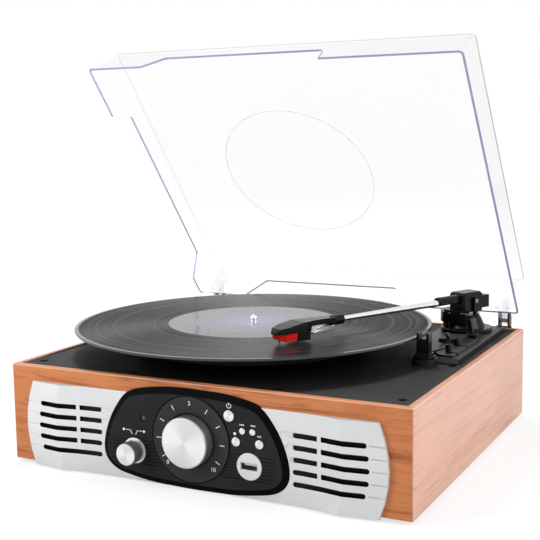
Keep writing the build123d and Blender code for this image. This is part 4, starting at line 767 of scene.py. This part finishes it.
        # painted shade: the panel's faces that don't face the front are painted near-black matte
        d.paint(BLACK_AND_PAINTED_SHADE, "control_panel", lambda _, normal: normal.y > -0.9)
        d.dress(RING_BLACK, "volume_ring")
        d.dress(SpunMetalWithPaintedLight("spun_volume", (0.0, 0.0, self.dial_z)), "volume_knob")
        d.dress(SpunMetalWithPaintedLight("spun_mode", (-48.0 * MM, 0.0, 22.6 * MM)), "mode_knob")
        for name, x, z in (("button_power", 32.4, 57.8), ("button_previous", 43.0, 47.9), ("button_next", 51.2, 48.1),
                           ("button_record", 37.8, 39.7), ("button_play", 56.5, 39.9)):
            d.dress(SpunMetalWithPaintedLight("spun_" + name, (x * MM, 0.0, z * MM)), name)
        d.dress(PlasticFinish("lamp_red", (0.11, 0.004, 0.004), Sheen.GLOSS, coat=0.2), "standby_lamp")
        d.smooth(28, "front_trim", "control_panel", "volume_knob", "mode_knob", "volume_ring", "usb_bezel")
        printed = Shapes.joined("printed_marks", self.ticks() + self.digits() + self.icons() + self.pointers())
        printed.data.materials.append(d.finish(INK))
        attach(printed, "cabinet")
        LOG.info("added printed_marks")


@dataclass
class Record:
    """The record, its label and the spindle."""

    dressing: Dressing
    centre: Point = (-26.2 * MM, -4.5 * MM, 0.0)

    def build(self) -> None:
        """Dress the record."""
        d = self.dressing
        d.dress(VinylFinish("vinyl", self.centre), "record")
        d.dress(LabelFinish("label_paper", self.centre), "record_label")
        d.dress(MetalFinish("chrome", (0.86, 0.86, 0.87), 0.06), "spindle")
        d.dress(MetalFinish("dull_steel", (0.22, 0.22, 0.23), 0.3), "gimbal_screws")
        d.smooth(30, "record", "spindle", "record_label")


@dataclass
class Tonearm:
    """The arm, its bearings, rest, levers and pickup."""

    dressing: Dressing

    def build(self) -> None:
        """Dress the arm parts."""
        d = self.dressing
        d.dress(ARM_BLACK, "arm_block", "headshell", "arm_yoke", "arm_turret", "cartridge", "arm_rest", "cue_lever",
                "cue_platform", "speed_lever", "stop_lever")
        d.dress(SATIN_BLACK, "arm_base")
        d.dress(MetalFinish("arm_chrome", (0.88, 0.88, 0.89), 0.12), "arm_tube")
        d.dress(PlasticFinish("red_plastic", (0.55, 0.006, 0.006), Sheen.SILK, variation=0.05, gloss=0.2), "stylus")
        d.smooth(30, "arm_tube", "arm_turret", "arm_block", "arm_base", "headshell", "arm_rest", "arm_yoke")


class CoverZone(Enum):
    """The parts of the cover that look different, as slots of its materials."""

    WALL = 0
    RIM = 1
    FOLD = 2
    EAR = 3
    RING = 4
    SIDE = 5
    CREASE = 6


@dataclass
class Cover:
    """The clear cover, with painted light: its thin rims are painted a strong violet, its folds, crease and moulded
    ring are painted grey as painted reflections, and its right and front walls are painted a darker film as painted
    shade.
    """

    dressing: Dressing
    open_angle: float = 51.2
    hinge: tuple[float, float] = (152.7 * MM, 82.7 * MM)
    top: float = 118.2 * MM
    fold: float = 1.7 * MM
    half_x: float = 165.4 * MM
    front: float = -145.7 * MM
    rear: float = 136.7 * MM
    corner: float = 16.0 * MM
    ear_x: float = 149.0 * MM
    ear_half: float = 7.2 * MM
    rim_depth: float = 6.0 * MM
    ring: Point = (-27.0 * MM, 7.0 * MM, 72.0 * MM)

    def closed(self, point: Vector) -> Vector:
        """Return where a point of the open cover lies when the cover is closed."""
        pin = Vector((0.0, *self.hinge))
        return Matrix.Rotation(math.radians(self.open_angle), 3, "X") @ (point - pin) + pin

    def outward(self, point: Vector) -> Vector:
        """Return the level way out of the cover at a closed point, or nothing well inside it."""
        middle = (self.front + self.rear) / 2
        half_y = (self.rear - self.front) / 2 - self.corner
        x = max(abs(point.x) - self.half_x + self.corner, 0.0)
        y = max(abs(point.y - middle) - half_y, 0.0)
        return Vector((math.copysign(x, point.x), math.copysign(y, point.y - middle), 0.0))

    def zone(self, point: Vector, normal: Vector, area: float) -> CoverZone:
        """Say which zone a face is in.

        Args:
            point: the face's middle on the closed cover.
            normal: its normal on the closed cover.
            area: its area in square metres.

        Returns:
            The face's zone.
        """
        away = math.hypot(point.x - self.ring[0], point.y - self.ring[1])
        if point.z > self.top - 0.0004 and abs(away - self.ring[2] + 0.00025) < 0.0006:
            return CoverZone.RING
        out = self.outward(point)
        # painted shade: faces on the right and front sides take the darker fold and side films
        facing = out.x > abs(out.y) or -out.y > abs(out.x)
        if point.z > self.top - self.fold and 0.12 < normal.z < 0.985:
            return CoverZone.FOLD if facing else CoverZone.CREASE
        if abs(abs(point.x) - self.ear_x) < self.ear_half and point.y > self.rear - self.rim_depth and area < 0.0006:
            return CoverZone.EAR
        level = abs(normal.dot(out.normalized())) if out.length > 0.0 else 1.0
        if point.z < self.top - self.rim_depth and level < 0.55:
            return CoverZone.RIM
        return CoverZone.SIDE if facing and abs(normal.z) < 0.5 else CoverZone.WALL

    def build(self) -> None:
        """Dress the cover's walls, rims, folds and ears."""
        d = self.dressing
        d.dress(ClearFinish("clear_cover", (0.93, 0.93, 0.95), 0.04), "dust_cover")
        node = d.frame["nodes"]["dust_cover"]
        # painted light: the rim film is the plastic's faint violet tint painted far stronger than its walls show it;
        # the fold, ring, side and crease films are painted reflection and shade; the ear film is the ears' thicker
        # plastic
        for finish in (ClearFinish("cover_rim", (0.40, 0.32, 0.58), 0.95, 0.2),
                       ClearFinish("cover_fold", (0.36, 0.37, 0.36), 0.7, 0.1),
                       ClearFinish("cover_ear", (0.70, 0.69, 0.76), 0.28, 0.1),
                       ClearFinish("cover_ring", (0.58, 0.58, 0.60), 0.42, 0.2),
                       ClearFinish("cover_side", (0.40, 0.40, 0.42), 0.075, 0.1),
                       ClearFinish("cover_crease", (0.58, 0.58, 0.61), 0.2, 0.1)):
            node.data.materials.append(d.finish(finish))
        turn = Matrix.Rotation(math.radians(self.open_angle), 3, "X")
        for face in node.data.polygons:
            face.material_index = self.zone(self.closed(face.center), turn @ face.normal, face.area).value
        d.smooth(25, "dust_cover")


@dataclass
class Studio:
    """White floor, soft lamps and the camera at the photograph's place."""

    azimuth: float = 27.245
    elevation: float = 7.593
    roll: float = -0.846
    position: Point = (386.46 * MM, -774.30 * MM, 256.50 * MM)
    lens: float = 69.302
    sensor: float = 36.0
    floor_size: float = 12.0

    def camera(self) -> None:
        """Add the camera and make it the scene's own."""
        a, e, r = (math.radians(v) for v in (self.azimuth, self.elevation, self.roll))
        back = Vector((math.sin(a) * math.cos(e), -math.cos(a) * math.cos(e), math.sin(e)))
        right = Vector((math.cos(a), math.sin(a), 0.0))
        up = back.cross(right)
        right2 = math.cos(r) * right + math.sin(r) * up
        up2 = -math.sin(r) * right + math.cos(r) * up
        data = bpy.data.cameras.new("camera")
        data.lens, data.sensor_width, data.sensor_fit = self.lens, self.sensor, "AUTO"
        data.clip_start, data.clip_end = 0.05, 50.0
        item = bpy.data.objects.new("camera", data)
        bpy.context.scene.collection.objects.link(item)
        axes = Matrix((right2, up2, back)).transposed().to_4x4()
        item.matrix_world = Matrix.Translation(self.position) @ axes
        bpy.context.scene.camera = item

    def floor(self) -> None:
        """Add a floor that shows white to the camera and keeps a soft shadow."""
        half = self.floor_size / 2
        outline = [(-half, -half), (half, -half), (half, half), (-half, half)]
        item = Shapes.solid("floor", outline, Matrix.Translation((0, 0, -FOOT_HEIGHT - 0.02)), 0.02)
        g = Graph("floor_white")
        plain = g.add("BsdfDiffuse", Color=(0.8, 0.8, 0.8)).outputs["BSDF"]
        lit = g.add("BsdfDiffuse", Color=(0.3, 0.3, 0.3)).outputs["BSDF"]
        away = g.add("VectorMath", {"operation": "LENGTH"})
        g.plug(away, "#0", g.place())
        strength = g.band(away.outputs["Value"], 0.3, 2.6, 0.70, 0.88)
        glow = g.add("Emission", Color=(1.0, 1.0, 1.0), Strength=strength).outputs["Emission"]
        both = g.add("AddShader")
        g.plug(both, "#0", lit)
        g.plug(both, "#1", glow)
        path = g.add("LightPath")
        seen = g.maths("MAXIMUM", path.outputs["Is Camera Ray"], path.outputs["Is Transmission Ray"])
        mix = g.add("MixShader")
        g.plug(mix, "#0", seen)
        g.plug(mix, "#1", plain)
        g.plug(mix, "#2", both.outputs["Shader"])
        item.data.materials.append(g.surface(mix.outputs["Shader"]))

    def world(self) -> None:
        """Set a white world for what sees it and a softer one that lights the object."""
        world = bpy.data.worlds.new("studio")
        bpy.context.scene.world = world
        world.use_nodes = True
        tree = world.node_tree
        tree.nodes.clear()
        output = tree.nodes.new("ShaderNodeOutputWorld")
        path = tree.nodes.new("ShaderNodeLightPath")
        seen = tree.nodes.new("ShaderNodeBackground")
        seen.inputs["Color"].default_value = (1, 1, 1, 1)
        seen.inputs["Strength"].default_value = 1.0
        light = tree.nodes.new("ShaderNodeBackground")
        light.inputs["Color"].default_value = (0.97, 0.985, 1.0, 1)
        light.inputs["Strength"].default_value = 0.42
        add1 = tree.nodes.new("ShaderNodeMath")
        add1.operation = "MAXIMUM"
        add2 = tree.nodes.new("ShaderNodeMath")
        add2.operation = "MAXIMUM"
        tree.links.new(path.outputs["Is Camera Ray"], add1.inputs[0])
        tree.links.new(path.outputs["Is Transmission Ray"], add1.inputs[1])
        tree.links.new(add1.outputs[0], add2.inputs[0])
        tree.links.new(path.outputs["Is Glossy Ray"], add2.inputs[1])
        mix = tree.nodes.new("ShaderNodeMixShader")
        tree.links.new(add2.outputs[0], mix.inputs[0])
        tree.links.new(light.outputs[0], mix.inputs[1])
        tree.links.new(seen.outputs[0], mix.inputs[2])
        tree.links.new(mix.outputs[0], output.inputs["Surface"])

    def lamp(self, name: str, place: Point, target: Point, size: tuple[float, float], power: float) -> None:
        """Add a soft rectangular lamp.

        Args:
            name: the lamp's name.
            place: where it stands, in metres.
            target: the point it faces.
            size: its width and height, in metres.
            power: its power in watts.
        """
        data = bpy.data.lights.new(name, "AREA")
        data.shape = "RECTANGLE"
        data.size, data.size_y = size
        data.energy = power
        item = bpy.data.objects.new(name, data)
        bpy.context.scene.collection.objects.link(item)
        item.location = place
        way = Vector(target) - Vector(place)
        item.rotation_mode = "QUATERNION"
        item.rotation_quaternion = way.to_track_quat("-Z", "Y")

    def build(self) -> None:
        """Build the studio."""
        self.floor()
        self.world()
        self.lamp("key", (-0.75, -0.85, 0.68), (0, 0, 0.05), (0.7, 0.7), 10.0)
        self.lamp("side", (1.5, -0.1, 0.9), (0.1, 0, 0.05), (1.0, 1.0), 20.0)
        self.lamp("back", (-0.80, 1.05, 1.65), (0, 0, 0.05), (0.36, 0.36), 22.0)
        self.camera()
        view = bpy.context.scene.view_settings
        view.view_transform = "Standard"
        LOG.info("studio ready")


def main() -> None:
    """Build the dressed turntable in its studio."""
    logging.basicConfig(level=logging.INFO, format="%(name)s: %(message)s")
    for item in list(bpy.data.objects):
        bpy.data.objects.remove(item)
    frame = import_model()
    dressing = Dressing(frame)
    for part in (Cabinet(dressing), FrontPanel(dressing), Record(dressing), Tonearm(dressing), Cover(dressing)):
        part.build()
        LOG.info("built %s", type(part).__name__)
    Studio().build()


if __name__ == "__main__":
    main()
